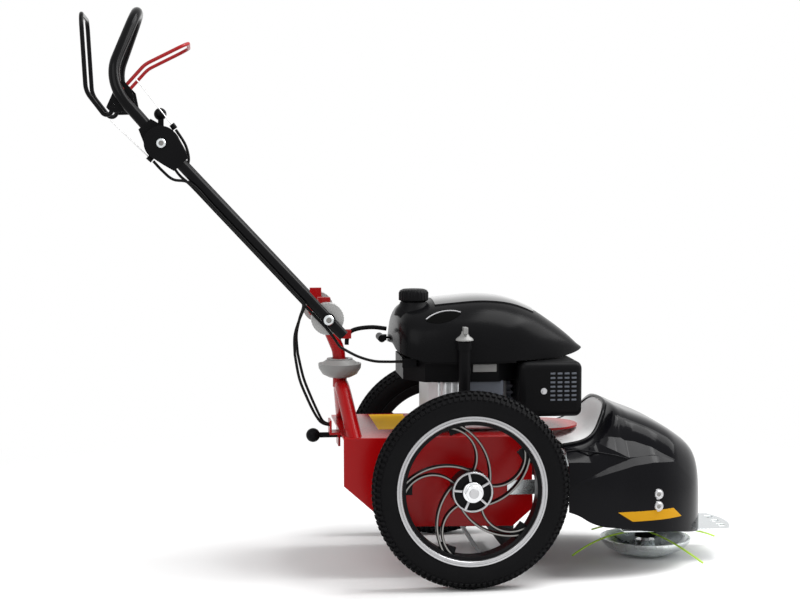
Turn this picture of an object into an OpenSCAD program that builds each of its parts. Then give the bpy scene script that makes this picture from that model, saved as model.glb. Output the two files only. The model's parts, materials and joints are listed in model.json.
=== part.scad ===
// Wheeled string trimmer: one module per real piece, every piece in its place.
// Millimetres. +X forward, +Y to the machine's left, +Z up, ground at z = 0.

/* [Wheels] */
// Outer radius of the tyres
wheel_r = 175; // [165:1:190]
// Width of a tyre
tyre_w = 47; // [40:1:50]
// Distance between the middles of the two wheels
track = 470; // [450:5:520]
// Radius of the rim flange that shows beside the tyre
rim_r = 133; // [130:1:136]
// Radius of the wheel hub
hub_r = 36; // [34:1:40]
// Spoke pairs in a wheel
spoke_pairs = 5; // [5:1:6]
// Width of one curved spoke, seen from the side
spoke_t = 5; // [4:0.5:7]
// Depth of the spokes along the axle
spoke_d = 14; // [10:1:20]
// Radius of the drive axle
axle_r = 8; // [8:0.5:10]
// Place of the axle along the machine
axle_x = 72; // [70:1:74]

/* [Chassis] */
// Thickness of the chassis sheet
plate_t = 4; // [3:0.5:5]
// Width over the two side plates
chassis_w = 300; // [300:2:310]
// Height of the deck that carries the engine
deck_z = 256; // [254:1:257]
// Rear end of the chassis
chassis_rear_x = -144; // [-150:1:-143]
// Front end of the chassis box
chassis_front_x = 194; // [190:1:200]
// Tip of the rounded tongue that reaches over the hood
tongue_x = 308; // [300:1:312]
// Width of the tongue
tongue_w = 140; // [130:2:150]
// Radius of the two fork legs under the steering column
fork_r = 13.5; // [12:0.5:15]

/* [Handle] */
// Radius of the handle tubes
tube_r = 10; // [9:0.5:10]
// Wall of the handle tubes
tube_wall = 2; // [1.5:0.5:3]
// Tilt axis, along and up
tilt_x = -171; // [-175:1:-168]
// Height of the tilt axis
tilt_z = 469; // [465:1:472]
// Upper joint, along
joint_x = -460; // [-465:1:-455]
// Height of the upper joint
joint_z = 779; // [775:1:785]
// Bend of the upper handle, along
bend_x = -553; // [-556:1:-550]
// Height of that bend
bend_z = 886; // [882:1:890]
// Top bar of the grip loop, along
top_x = -503; // [-506:1:-500]
// Height of the top bar
top_z = 1013; // [1010:1:1018]
// Half width of the top bar, between its bends
top_half = 50; // [46:1:56]
// Half distance between the lower tubes
lower_y = 148; // [147:1:150]
// Half distance between the upper tubes
upper_y = 124; // [123:1:125]
// Radius of the toothed tilt discs
disc_r = 29; // [27:1:31]
// Radius of the round joint covers
cover_r = 30; // [28:1:31]
// Radius of the swivel bowl
bowl_r = 40; // [38:1:43]
// Radius of the wire of the black bail
cutter_wire_r = 4; // [3:0.5:4]
// Radius of the wire of the red bail
drive_wire_r = 3.2; // [2.6:0.2:3.6]

/* [Engine] */
// Crankshaft axis along the machine
crank_x = 112; // [111:1:113]
// Underside of the top cover
cover_z = 388; // [388:1:390]
// Top of the cover
cover_top = 499; // [490:1:505]
// Half width of the cover
cover_w = 132; // [126:1:134]
// Radius of the fuel cap
cap_r = 27; // [25:1:29]

/* [Cutter] */
// Spindle axis along the machine
spindle_x = 444; // [440:1:448]
// Radius of the guard plate's round front
guard_r = 158; // [150:1:162]
// Half width of the guard plate
guard_w = 74; // [66:1:90]
// Height of the guard plate's upper face
guard_z = 61; // [60:0.5:62]
// Radius of the glide saucer
saucer_r = 86; // [78:1:92]
// Radius of the trimmer head
head_r = 20; // [19:1:24]
// Reach of the lines beyond the head
line_reach = 150; // [130:5:170]
// Thickness of the line
line_d = 3.5; // [3:0.1:3.8]
// Highest point of the hood
hood_top = 307; // [302:1:310]
// Half width of the hood
hood_w = 200; // [194:1:203]

/* [Hidden] */
$fn = 64;
run = 0.05;
side_y = chassis_w / 2;
axle_z = wheel_r;
// half height and wall of the tyre's section
tyre_h = (wheel_r - rim_r + 5) / 2;
tyre_t = 4.5;
// the curved spokes are drawn for a rim of radius 133 and grow with it
spoke_k = rim_r / 133;
// oil filler, clear of the cover
fill_x = 72;
fill_y = -cover_w - 20;
// hood arms, clear of the hood's wall
arm_y = hood_w - 50;
// directions in which the lines leave the head
line_angles = [15, 105, 195, 285];
low_z = 92;
column_x = -139;
bowl_z = 348;
fork_foot = [-124, 122];
fork_top_z = 350;
lower_dir = unit([tilt_x - joint_x, 0, tilt_z - joint_z]);
upper_dir = unit([bend_x - joint_x, 0, bend_z - joint_z]);
upper_nrm = [upper_dir[2], 0, -upper_dir[0]];
cutter_pivot = [-543, 844];
drive_pivot = [-527, 874];
bail_y = 96;
belt_low = 208;
belt_high = 229;
pin_x = 40;
hood_n = 3.4;
// stations of the hood: along, top, bottom, half width
hood_st = [
  [254, hood_top - 74, 124, hood_w],
  [272, hood_top - 72, 117, hood_w],
  [292, hood_top - 68, 105, hood_w],
  [310, hood_top - 60, 98, hood_w - 1],
  [322, hood_top - 48, 95, hood_w - 2],
  [330, hood_top - 32, 94, hood_w - 3],
  [338, hood_top - 11, 93, hood_w - 4],
  [353, hood_top, 91, hood_w - 6],
  [390, hood_top - 11, 85, hood_w - 12],
  [431, hood_top - 26, 74, hood_w - 24],
  [462, hood_top - 42, 66, hood_w - 42],
  [490, hood_top - 60, guard_z, hood_w - 65],
  [512, hood_top - 81, guard_z, hood_w - 90],
  [529, hood_top - 105, guard_z, hood_w - 118],
  [540, hood_top - 137, guard_z, hood_w - 148],
  [546, hood_top - 176, guard_z, hood_w - 180]
];
// stations of the engine cover: along, top, bottom, half width
cover_st = [
  [-42, cover_top - 62, 406, cover_w - 57],
  [-37, cover_top - 36, 402, cover_w - 32],
  [-24, cover_top - 18, 397, cover_w - 13],
  [10, cover_top - 10, cover_z, cover_w - 4],
  [60, cover_top - 4, cover_z, cover_w],
  [118, cover_top, cover_z, cover_w],
  [170, cover_top - 6, cover_z, cover_w - 10],
  [215, cover_top - 24, cover_z, cover_w - 30],
  [255, cover_top - 50, cover_z, cover_w - 56],
  [286, cover_top - 74, 391, cover_w - 84],
  [306, cover_top - 92, 395, cover_w - 108],
  [314, cover_top - 98, 398, cover_w - 122]
];

function unit(v) = v / norm(v);
function turn(a, b, c) = acos(unit(b - a) * unit(c - b));
function trim_len(p, bends, i) =
  (i == 0 || i == len(p) - 1) ? 0 : bends[i - 1] * tan(turn(p[i - 1], p[i], p[i + 1]) / 2);

module both() {
  children();
  mirror([0, 1, 0]) children();
}

module ycyl(x, z, r, y0, y1) {
  translate([x, y0, z]) rotate([-90, 0, 0]) cylinder(r = r, h = y1 - y0);
}

module zcyl(x, y, r, z0, z1) {
  translate([x, y, z0]) cylinder(r = r, h = z1 - z0);
}

module xcyl(y, z, r, x0, x1) {
  translate([x0, y, z]) rotate([0, 90, 0]) cylinder(r = r, h = x1 - x0);
}

module bar(a, b, r) {
  d = b - a;
  translate(a) rotate([0, acos(d[2] / norm(d)), atan2(d[1], d[0])]) cylinder(r = r, h = norm(d));
}

module box(x0, x1, y0, y1, z0, z1) {
  translate([x0, y0, z0]) cube([x1 - x0, y1 - y0, z1 - z0]);
}

// flat plate standing along X and Z
module plate_xz(pts, y0, y1) {
  translate([0, y1, 0]) rotate([90, 0, 0]) linear_extrude(height = y1 - y0) polygon(pts);
}

// points along a bar: straight runs, with an arc of the given radius at every corner
function corner(p, bends, i) =
  let (u = unit(p[i] - p[i - 1]), v = unit(p[i + 1] - p[i]), n = unit(v - (v * u) * u),
    a = turn(p[i - 1], p[i], p[i + 1]), r = bends[i - 1],
    o = p[i] - u * trim_len(p, bends, i) + n * r, m = max(2, ceil(a / 13)))
  [for (k = [0 : m]) o - n * r * cos(a * k / m) + u * r * sin(a * k / m)];
function path(p, bends) = concat(
  [p[0]],
  [for (i = [1 : len(p) - 2]) for (q = corner(p, bends, i)) q],
  [p[len(p) - 1]]);
function heading(q, i) =
  i == 0 ? unit(q[1] - q[0]) :
  i == len(q) - 1 ? unit(q[i] - q[i - 1]) :
  unit(unit(q[i + 1] - q[i]) + unit(q[i] - q[i - 1]));
function carried(q, n, i) = i == len(q) ? [] :
  let (t = heading(q, i), m = unit(n - (n * t) * t)) concat([m], carried(q, m, i + 1));

// round bar swept along those points
module swept(q, r, sides) {
  n = carried(q, abs(heading(q, 0)[1]) < 0.8 ? [0, 1, 0] : [1, 0, 0], 0);
  loft([for (i = [0 : len(q) - 1])
    let (b = cross(heading(q, i), n[i]))
    [for (k = [0 : sides - 1]) q[i] + r * (cos(360 / sides * k) * n[i] + sin(360 / sides * k) * b)]]);
}

module bent(p, bends, r, sides = 16) {
  swept(path(p, bends), r, sides);
}

module pipe(p, bends, r, wall) {
  q = path(p, bends);
  a = heading(q, 0);
  b = heading(q, len(q) - 1);
  long = concat([q[0] - a], [for (i = [1 : len(q) - 2]) q[i]], [q[len(q) - 1] + b]);
  difference() {
    swept(q, r, 16);
    swept(long, r - wall, 16);
  }
}

// closed skin over a row of equal rings
module loft(rings) {
  n = len(rings[0]);
  m = len(rings);
  polyhedron(
    points = [for (ring = rings) for (q = ring) q],
    faces = concat(
      [[for (j = [0 : n - 1]) j]],
      [for (i = [0 : m - 2]) for (j = [0 : n - 1])
        [i * n + j, (i + 1) * n + j, (i + 1) * n + (j + 1) % n]],
      [for (i = [0 : m - 2]) for (j = [0 : n - 1])
        [i * n + j, (i + 1) * n + (j + 1) % n, i * n + (j + 1) % n]],
      [[for (j = [n - 1 : -1 : 0]) (m - 1) * n + j]]
    )
  );
}

function pow_s(v, e) = sign(v) * pow(abs(v), e);
// arch over the width, from the left foot over the top to the right foot
function arch(x, top, foot, w, n, a0, a1, count) = [for (k = [0 : count])
  let (a = a0 + (a1 - a0) * k / count)
  [x, w * pow_s(cos(a), 2 / n), foot + (top - foot) * pow_s(sin(a), 2 / n)]];

// round cord, eight sided
module cord(p, r) {
  swept(p, r, 8);
}

// smooth route: three points on each stretch between the given ones
function mixed(a, b, c, d, t) =
  0.5 * (2 * b + (c - a) * t + (2 * a - 5 * b + 4 * c - d) * t * t + (3 * b - a - 3 * c + d) * t * t * t);
function route(p) = concat(
  [for (i = [0 : len(p) - 2]) for (k = [0 : 2])
    mixed(p[max(i - 1, 0)], p[i], p[i + 1], p[min(i + 2, len(p) - 1)], k / 3)],
  [p[len(p) - 1]]);

// wheels

module tyre_form() {
  tr = tyre_w / 2;
  mid = wheel_r - tyre_h;
  color([0.05, 0.05, 0.05]) rotate([90, 0, 0]) rotate_extrude() difference() {
    union() {
      intersection() {
        translate([mid, 0]) scale([tyre_h / tr, 1]) circle(tr);
        translate([rim_r + 0.3, -60]) square([120, 120]);
      }
      translate([rim_r - 7, -14.6]) square([12, 29.2]);
    }
    translate([mid, 0]) scale([(tyre_h - tyre_t) / (tr - tyre_t), 1]) circle(tr - tyre_t);
    translate([rim_r - 8, -9]) square([mid - rim_r + 8, 18]);
  }
}

module right_tyre() {
  translate([axle_x, -track / 2, axle_z]) tyre_form();
}

module left_tyre() {
  translate([axle_x, track / 2, axle_z]) tyre_form();
}

module spoke(c, r, a0, a1) {
  translate([c[0], c[1], 0]) rotate([0, 0, a0]) rotate_extrude(angle = a1 - a0)
    translate([r - spoke_t / 2, -spoke_d / 2]) square([spoke_t, spoke_d]);
}

module wheel_form() {
  color([0.08, 0.08, 0.08]) rotate([90, 0, 0]) difference() {
    union() {
      rotate_extrude() polygon([[rim_r - 17, -18], [rim_r, -18], [rim_r, -15], [rim_r - 7, -15],
        [rim_r - 7, 15], [rim_r, 15], [rim_r, 18], [rim_r - 17, 18]]);
      translate([0, 0, -22]) cylinder(r = hub_r, h = 44);
      for (k = [0 : spoke_pairs - 1]) rotate([0, 0, 360 / spoke_pairs * k]) {
        spoke([-68, 25] * spoke_k, 101 * spoke_k, -18, 67);
        spoke([-44, 58] * spoke_k, 53 * spoke_k, -38, 90);
        rotate([0, 0, 96]) rotate_extrude(angle = 14) translate([rim_r - 28, -4]) square([13, 8]);
      }
      for (k = [0 : 4]) rotate([0, 0, 72 * k + 30]) translate([19, -2, 20]) cube([14, 4, 4.5]);
    }
    translate([0, 0, -30]) cylinder(r = axle_r + run, h = 60);
  }
}

module right_wheel() {
  translate([axle_x, -track / 2, axle_z]) wheel_form();
}

module left_wheel() {
  translate([axle_x, track / 2, axle_z]) rotate([0, 0, 180]) wheel_form();
}

module hub_nuts() {
  y = track / 2 + 22.4;
  color([0.75, 0.76, 0.78]) both() difference() {
    union() {
      ycyl(axle_x, axle_z, 18, y, y + 2.5);
      translate([axle_x, y + 2.5, axle_z]) rotate([-90, 0, 0]) cylinder(r = 15, h = 10, $fn = 6);
    }
    ycyl(axle_x, axle_z, axle_r, y - 1, y + 20);
  }
}

module drive_axle() {
  y = track / 2 + 37;
  color([0.6, 0.6, 0.62]) ycyl(axle_x, axle_z, axle_r, -y, y);
}

module axle_bearings() {
  color([0.45, 0.46, 0.48]) both() difference() {
    union() {
      ycyl(axle_x, axle_z, 14, side_y - plate_t, side_y + 2);
      ycyl(axle_x, axle_z, 22, side_y - plate_t - 8, side_y - plate_t);
    }
    ycyl(axle_x, axle_z, axle_r + run, 0, side_y + 20);
  }
}

// drive inside the chassis

module gearbox_housing() {
  color([0.62, 0.63, 0.65]) difference() {
    union() {
      ycyl(axle_x, axle_z, 28, -44, 44);
      zcyl(pin_x, 0, 21, 140, 214);
      box(-16, -5, -25, 25, 150, deck_z - plate_t);
      box(-6, 46, -20, 20, 150, 168);
    }
    ycyl(axle_x, axle_z, axle_r + run, -60, 60);
    zcyl(pin_x, 0, 7 + run, 150, 220);
  }
}

module grooved(x, r, z0) {
  zcyl(x, 0, r, z0, z0 + 15);
  zcyl(x, 0, r + 7, z0, z0 + 2.5);
  zcyl(x, 0, r + 7, z0 + 12.5, z0 + 15);
}

module input_pulley() {
  color([0.5, 0.5, 0.52]) {
    grooved(pin_x, 27, belt_high - 2.5 - 0.2);
    zcyl(pin_x, 0, 7, 151, belt_high);
  }
}

module belt(x0, r0, x1, r1, z) {
  translate([0, 0, z]) linear_extrude(height = 9.6) difference() {
    hull() {
      translate([x0, 0]) circle(r0 + 6.4, $fn = 40);
      translate([x1, 0]) circle(r1 + 6.4, $fn = 40);
    }
    hull() {
      translate([x0, 0]) circle(r0 + 0.5, $fn = 40);
      translate([x1, 0]) circle(r1 + 0.5, $fn = 40);
    }
  }
}

module drive_belt() {
  color([0.06, 0.06, 0.06]) belt(pin_x, 27, crank_x, 22, belt_high);
}

module cutter_belt() {
  color([0.06, 0.06, 0.06]) belt(crank_x, 29, spindle_x, 38, belt_low);
}

module idler(px, py, x, y, r, z0, arm_z) {
  d = norm([x - px, y - py]);
  difference() {
    union() {
      translate([px, py, arm_z]) rotate([0, 0, atan2(y - py, x - px)])
        translate([0, -6, 0]) cube([d, 12, 4]);
      zcyl(px, py, 8, arm_z - 4, arm_z + 4.5);
      zcyl(x, y, 7.5, arm_z - 0.5, arm_z + 4.5);
      zcyl(x, y, 4, z0, arm_z + 1);
    }
    zcyl(px, py, 4 + run, arm_z - 10, arm_z + 10);
  }
  difference() {
    union() {
      zcyl(x, y, r - 2, z0, z0 + 12);
      zcyl(x, y, r, z0, z0 + 2);
      zcyl(x, y, r, z0 + 10, z0 + 12);
    }
    zcyl(x, y, 4 + run, z0 - 1, z0 + 13);
  }
}

module drive_idler() {
  color([0.55, 0.56, 0.58]) idler(124, -62, 76, -52, 11, belt_high - 1, 243);
}

module cutter_idler() {
  color([0.55, 0.56, 0.58]) idler(212, -55, 280, -66, 17, belt_low - 1, 221);
}

// chassis

module side_plate(rear_x) {
  difference() {
    plate_xz([[rear_x, deck_z], [rear_x, 170], [-74, 108], [-28, low_z + 3],
      [161, low_z], [chassis_front_x + 4, 124], [chassis_front_x, deck_z]], side_y - plate_t, side_y);
    ycyl(axle_x, axle_z, 14, side_y - 10, side_y + 5);
  }
}

module right_side_plate() {
  color([0.75, 0.05, 0.05]) mirror([0, 1, 0]) side_plate(chassis_rear_x);
}

module left_side_plate() {
  color([0.75, 0.05, 0.05]) side_plate(chassis_rear_x + 26);
}

module top_deck() {
  in_y = side_y - plate_t;
  color([0.75, 0.05, 0.05]) difference() {
    union() {
      box(chassis_rear_x, chassis_front_x, -in_y, in_y, deck_z - plate_t, deck_z);
      box(chassis_rear_x, chassis_rear_x + plate_t, -24, 24, 222, deck_z);
      box(chassis_front_x - 2, tongue_x - tongue_w / 2, -tongue_w / 2, tongue_w / 2,
        deck_z - plate_t, deck_z);
      zcyl(tongue_x - tongue_w / 2, 0, tongue_w / 2, deck_z - plate_t, deck_z);
      zcyl(124, -62, 4, 239, deck_z - 1);
      zcyl(212, -55, 4, 217, deck_z - 1);
      box(-164, chassis_rear_x + 1, -80, -40, deck_z - plate_t, deck_z);
      box(-164, -160, -80, -40, deck_z - plate_t, 278);
    }
    xcyl(-67, 268, 2.7, -170, -150);
    xcyl(-53, 268, 2.7, -170, -150);
    zcyl(crank_x, 0, 42, deck_z - 20, deck_z + 5);
    xcyl(0, 240, 5 + run, chassis_rear_x - 5, chassis_rear_x + 20);
  }
}

module deflector() {
  in_y = side_y - plate_t;
  color([0.55, 0.56, 0.58]) {
    box(70, 160, -in_y, in_y, low_z, low_z + 4);
    plate_xz([[80, low_z + 1], [86, low_z + 1], [86, 76], [127, 10], [122, 7], [80, 75]], -70, 70);
  }
}

module rubber_flap() {
  color([0.05, 0.05, 0.05]) box(160, 164, -144, 144, 30, low_z + 4);
}

module selector_rod() {
  color([0.1, 0.1, 0.1]) {
    xcyl(0, 240, 5, -182, -92);
    translate([-189, 0, 240]) sphere(13);
  }
}

// steering column

module handle_fork() {
  color([0.75, 0.05, 0.05]) difference() {
    union() {
      bent([[fork_foot[0] + 3, -fork_foot[1] - 16, deck_z - 13], [column_x, 0, fork_top_z],
        [fork_foot[0] + 3, fork_foot[1] + 16, deck_z - 13]], [60], fork_r);
      zcyl(column_x, 0, 13, 330, bowl_z);
    }
    box(-200, -60, -220, 220, deck_z - 60, deck_z);
    zcyl(column_x, 0, 8 + run, 300, 360);
  }
}

module swivel_bowl() {
  color([0.5, 0.51, 0.53]) translate([column_x, 0, bowl_z]) rotate_extrude() polygon([[8 + run, 0],
    [20, 0], [32, 6], [bowl_r - 1, 17], [bowl_r, 26], [bowl_r - 4, 26], [bowl_r - 6, 18], [30, 11],
    [22, 8], [8 + run, 8]]);
}

module yoke() {
  color([0.75, 0.05, 0.05]) {
    zcyl(column_x, 0, 8, 324, 362);
    zcyl(column_x, 0, 22, bowl_z + 8.4, bowl_z + 16);
    bent([[column_x, 0, bowl_z + 12], [column_x - 2, 0, 398], [tilt_x, 0, tilt_z]], [45], 12);
    ycyl(tilt_x, tilt_z, 13, -113, 113);
    both() difference() {
      union() {
        ycyl(tilt_x, tilt_z, 21, 112, 118);
        box(tilt_x - 16, tilt_x + 6, 112, 118, tilt_z, tilt_z + 37);
      }
      ycyl(tilt_x, tilt_z, 5 + run, 113, 130);
    }
    both() box(-158, -118, 4.4, 7.4, 420, 436);
    ycyl(-127, 428, 3, -7, 7);
  }
}

module clamp_lever() {
  color([0.06, 0.06, 0.06]) difference() {
    union() {
      ycyl(-127, 428, 7, -4, 4);
      bar([-124, 0, 428], [-54, 0, 438], 3.6);
      translate([-54, 0, 438]) sphere(5);
      zcyl(-127, 0, 3, 407, 424);
    }
    ycyl(-127, 428, 3 + run, -10, 10);
  }
}

module tilt_discs_inner() {
  color([0.55, 0.56, 0.57]) both() difference() {
    ycyl(tilt_x, tilt_z, disc_r, 118, 128);
    ycyl(tilt_x, tilt_z, 5 + run, 110, 140);
  }
}

module tilt_discs_outer() {
  color([0.55, 0.56, 0.57]) both() difference() {
    ycyl(tilt_x, tilt_z, disc_r, 128.3, lower_y - tube_r);
    ycyl(tilt_x, tilt_z, 5, 110, 150);
  }
}

// handle

function lower_at(s) = [joint_x, 0, joint_z] + lower_dir * s;
function upper_at(s, n) = [joint_x, 0, joint_z] + upper_dir * s + upper_nrm * n;

module lower_tubes() {
  len_all = norm([tilt_x - joint_x, tilt_z - joint_z]) + 40;
  color([0.04, 0.04, 0.04]) both() translate([0, lower_y, 0]) difference() {
    bar(lower_at(12), lower_at(len_all), tube_r);
    bar(lower_at(11), lower_at(len_all + 1), tube_r - tube_wall);
    ycyl(tilt_x, tilt_z, 5, -20, 20);
  }
}

module handle_bolts() {
  y_out = lower_y + tube_r;
  color([0.75, 0.76, 0.78]) both() {
    ycyl(tilt_x, tilt_z, 5, 113.4, y_out + 2);
    ycyl(tilt_x, tilt_z, 12, y_out, y_out + 2);
    ycyl(tilt_x, tilt_z, 9, y_out + 2, y_out + 8);
    ycyl(joint_x, joint_z, 4, 101, lower_y + 13);
    ycyl(joint_x, joint_z, 8, lower_y + 12, lower_y + 18);
    ycyl(joint_x, joint_z, 7, 101, 107.6);
  }
}

module joint_halves_lower() {
  n = [lower_dir[2], 0, -lower_dir[0]];
  function at(s, k) = let (q = lower_at(s) + n * k) [q[0], q[2]];
  color([0.06, 0.06, 0.06]) both() difference() {
    union() {
      ycyl(joint_x, joint_z, cover_r, lower_y - 11.8, lower_y + 12);
      plate_xz([at(6, 29), at(30, 23), at(50, 17), at(50, -17), at(30, -23), at(6, -29)],
        lower_y - 11.8, lower_y + 12);
    }
    translate([0, lower_y, 0]) bar(lower_at(12), lower_at(90), tube_r);
    ycyl(joint_x, joint_z, 4, 60, lower_y + 30);
  }
}

module joint_halves_upper() {
  color([0.06, 0.06, 0.06]) {
    both() difference() {
      union() {
        ycyl(joint_x, joint_z, cover_r, upper_y - 12, upper_y + 11.8);
        plate_xz([for (q = [upper_at(6, 28), upper_at(44, 14), upper_at(44, -14), upper_at(6, -28)])
          [q[0], q[2]]], upper_y - 12, upper_y + 11.8);
      }
      translate([0, upper_y, 0]) bar(upper_at(12, 0), upper_at(90, 0), tube_r);
      ycyl(joint_x, joint_z, 4 + run, 60, 200);
    }
    bar([joint_x + 18, -130, joint_z + 33], [joint_x + 24, -130, joint_z + 25], 5);
    bar([joint_x - 24, -118, joint_z - 23], [joint_x - 16, -118, joint_z - 30], 5);
  }
}

function loop_points(s0) = [
  upper_at(s0, 0) + [0, -upper_y, 0], [bend_x, -upper_y, bend_z], [top_x, -top_half, top_z],
  [top_x, top_half, top_z], [bend_x, upper_y, bend_z], upper_at(s0, 0) + [0, upper_y, 0]];

module upper_handle() {
  color([0.04, 0.04, 0.04]) pipe(loop_points(12), [80, 55, 55, 80], tube_r, tube_wall);
}

module bail_brackets() {
  function at(s, n) = let (q = upper_at(s, n)) [q[0], q[2]];
  y1 = upper_y - tube_r;
  foot = upper_at(88, 0);
  color([0.08, 0.08, 0.08]) both() difference() {
    union() {
      plate_xz([at(80, -9), at(98, -31), at(110, -31), at(127, 6), at(127, 20), at(122, 23),
        at(104, 23), at(80, 9)], y1 - 8.5, y1 - 4.5);
      ycyl(foot[0], foot[2], 6, y1 - 5, y1);
    }
    ycyl(cutter_pivot[0], cutter_pivot[1], cutter_wire_r + run, 90, 120);
    ycyl(drive_pivot[0], drive_pivot[1], drive_wire_r + run, 90, 120);
  }
}

module cutter_bail() {
  side = [[cutter_pivot[0], cutter_pivot[1]], [-553, 820], [-591, 870], [-598, 1006]];
  y1 = upper_y - tube_r - 4.7;
  color([0.05, 0.05, 0.05]) bent([
    [side[0][0], -y1, side[0][1]], [side[0][0], -bail_y, side[0][1]],
    [side[1][0], -bail_y, side[1][1]], [side[2][0], -bail_y, side[2][1]],
    [side[3][0], -bail_y, side[3][1]], [side[3][0], bail_y, side[3][1]],
    [side[2][0], bail_y, side[2][1]], [side[1][0], bail_y, side[1][1]],
    [side[0][0], bail_y, side[0][1]], [side[0][0], y1, side[0][1]]],
    [6, 9, 40, 25, 25, 40, 9, 6], cutter_wire_r, 12);
}

module drive_bail() {
  side = [[drive_pivot[0], drive_pivot[1]], [-488, 917], [-412, 955]];
  y1 = upper_y - tube_r - 4.7;
  color([0.8, 0.06, 0.05]) bent([
    [side[0][0], -y1, side[0][1]], [side[0][0], -bail_y, side[0][1]],
    [side[1][0], -bail_y, side[1][1]], [side[2][0], -bail_y, side[2][1]],
    [side[2][0], bail_y, side[2][1]], [side[1][0], bail_y, side[1][1]],
    [side[0][0], bail_y, side[0][1]], [side[0][0], y1, side[0][1]]],
    [6, 50, 25, 25, 50, 6], drive_wire_r, 12);
}

module throttle_lever() {
  color([0.06, 0.06, 0.06]) difference() {
    union() {
      ycyl(joint_x, joint_z, 13, -111.7, -108);
      box(joint_x - 6, joint_x + 4, -111.7, -108, joint_z, joint_z + 44);
      translate([joint_x - 2, -105, joint_z + 51]) sphere(11);
    }
    ycyl(joint_x, joint_z, 4 + run, -140, -90);
  }
}

// engine

module crankcase() {
  color([0.6, 0.62, 0.65]) difference() {
    union() {
      zcyl(crank_x, 0, 78, deck_z, deck_z + 7);
      translate([0, 0, deck_z + 7]) linear_extrude(height = 350 - deck_z - 7) polygon([[18, -70],
        [42, -105], [138, -105], [160, -84], [160, 84], [138, 105], [42, 105], [18, 70]]);
    }
    zcyl(crank_x, 0, 11 + run, deck_z - 5, 360);
  }
}

module engine_cylinder() {
  color([0.25, 0.27, 0.3]) {
    box(160, 174, -52, 72, 278, 342);
    for (k = [0 : 5]) box(160, 176, -60, 80, 272 + 12 * k, 276 + 12 * k + 1);
  }
}

module two_sided(p) {
  polygon(concat([for (q = p) [q[0], -q[1]]], [for (i = [len(p) - 1 : -1 : 0]) p[i]]));
}

module engine_shroud() {
  color([0.06, 0.06, 0.07]) translate([0, 0, 350]) linear_extrude(height = cover_z - 350) difference() {
    two_sided([[-28, cover_w - 70], [6, cover_w - 20], [140, cover_w - 16], [176, cover_w - 54]]);
    two_sided([[-22, cover_w - 74], [10, cover_w - 26], [137, cover_w - 22], [170, cover_w - 57]]);
  }
  color([0.06, 0.06, 0.07]) box(-34, -8, 30 - cover_w, 46 - cover_w, 376, 392);
  color([0.06, 0.06, 0.07]) translate([0, 0, cover_z - 4]) linear_extrude(height = 4) difference() {
    two_sided([[-6, cover_w - 34], [14, cover_w - 8], [60, cover_w - 2], [118, cover_w - 2],
      [172, cover_w - 13], [176, cover_w - 62]]);
    two_sided([[-2, cover_w - 44], [12, cover_w - 26], [137, cover_w - 22], [168, cover_w - 57]]);
  }
}

module cover_skin(t, z_cut) {
  loft([for (s = cover_st) arch(s[0] + t * sign(100 - s[0]), s[1] - t, s[2] - z_cut, s[3] - t, 2.6,
    0, 180, 24)]);
}

module engine_cover() {
  color([0.06, 0.06, 0.07]) difference() {
    cover_skin(0, 0);
    cover_skin(4.5, 3);
    zcyl(-6, -40, 21.5, 440, 520);
    xcyl(47, 416, 2 + run, -60, 0);
  }
}

module fuel_tank() {
  color([0.2, 0.2, 0.21]) {
    box(-16, 62, 48 - cover_w, 20, cover_z + 6, 452);
    box(-8, 62, 48 - cover_w, 20, cover_z, cover_z + 8);
    zcyl(-6, -40, 20, 440, 498);
  }
}

module fuel_cap() {
  color([0.07, 0.07, 0.07]) difference() {
    union() {
      zcyl(-6, -40, cap_r - 1.5, 491, 514);
      for (k = [0 : 19]) rotate_at(-6, -40, 18 * k) box(cap_r - 4, cap_r, -2, 2, 493, 511);
    }
    zcyl(-6, -40, 20.4, 480, 498.4);
  }
}

module rotate_at(x, y, a) {
  translate([x, y, 0]) rotate([0, 0, a]) children();
}

module filler_tube() {
  p = [[fill_x, -105, 300], [fill_x, fill_y, 318], [fill_x, fill_y, 417]];
  color([0.06, 0.06, 0.06]) difference() {
    bent(p, [22], 10.5);
    zcyl(fill_x, fill_y, 7, 346, 430);
    box(40, 110, -105, -60, 250, 350);
  }
}

module dipstick() {
  color([0.5, 0.51, 0.52]) {
    zcyl(fill_x, fill_y, 14, 417.3, 424);
    zcyl(fill_x, fill_y, 10, 424, 434);
    box(fill_x - 2.5, fill_x + 2.5, fill_y - 13, fill_y + 13, 424, 453);
    zcyl(fill_x, fill_y, 2.5, 350, 420);
  }
}

module muffler() {
  color([0.4, 0.4, 0.42]) {
    box(200, 274, -104, 12, 298, 370);
    xcyl(10, 322, 15, 176, 201);
  }
}

module muffler_guard() {
  color([0.06, 0.06, 0.07]) difference() {
    union() {
      box(176, 286, -122, 30, 284, 385);
      box(285, 294, -114, 22, 290, 380);
    }
    box(170, 284, -119.5, 27.5, 286.5, 382.5);
    for (i = [0 : 2]) for (j = [0 : 4])
      box(192 + 28 * i, 213 + 28 * i, -130, -100, 302 + 12 * j, 307 + 12 * j);
  }
}

module crankshaft() {
  color([0.55, 0.56, 0.58]) {
    zcyl(crank_x, 0, 11, 203, 358);
    zcyl(crank_x, 0, 54, 357, 375);
  }
}

module engine_pulley() {
  color([0.5, 0.5, 0.52]) difference() {
    union() {
      grooved(crank_x, 29, belt_low - 2.7);
      grooved(crank_x, 22, belt_high - 2.7);
      zcyl(crank_x, 0, 20, belt_low, belt_high);
    }
    zcyl(crank_x, 0, 11, 190, 260);
  }
}

module starter_grip() {
  color([0.07, 0.07, 0.07]) {
    xcyl(47, 416, 6, -62, -47);
    translate([0, 23, 0]) rotate([-90, 0, 0]) translate([-58, -416, 0]) cylinder(r = 7, h = 48);
    xcyl(47, 416, 2, -50, 196);
  }
}

// hood and cutter

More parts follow.
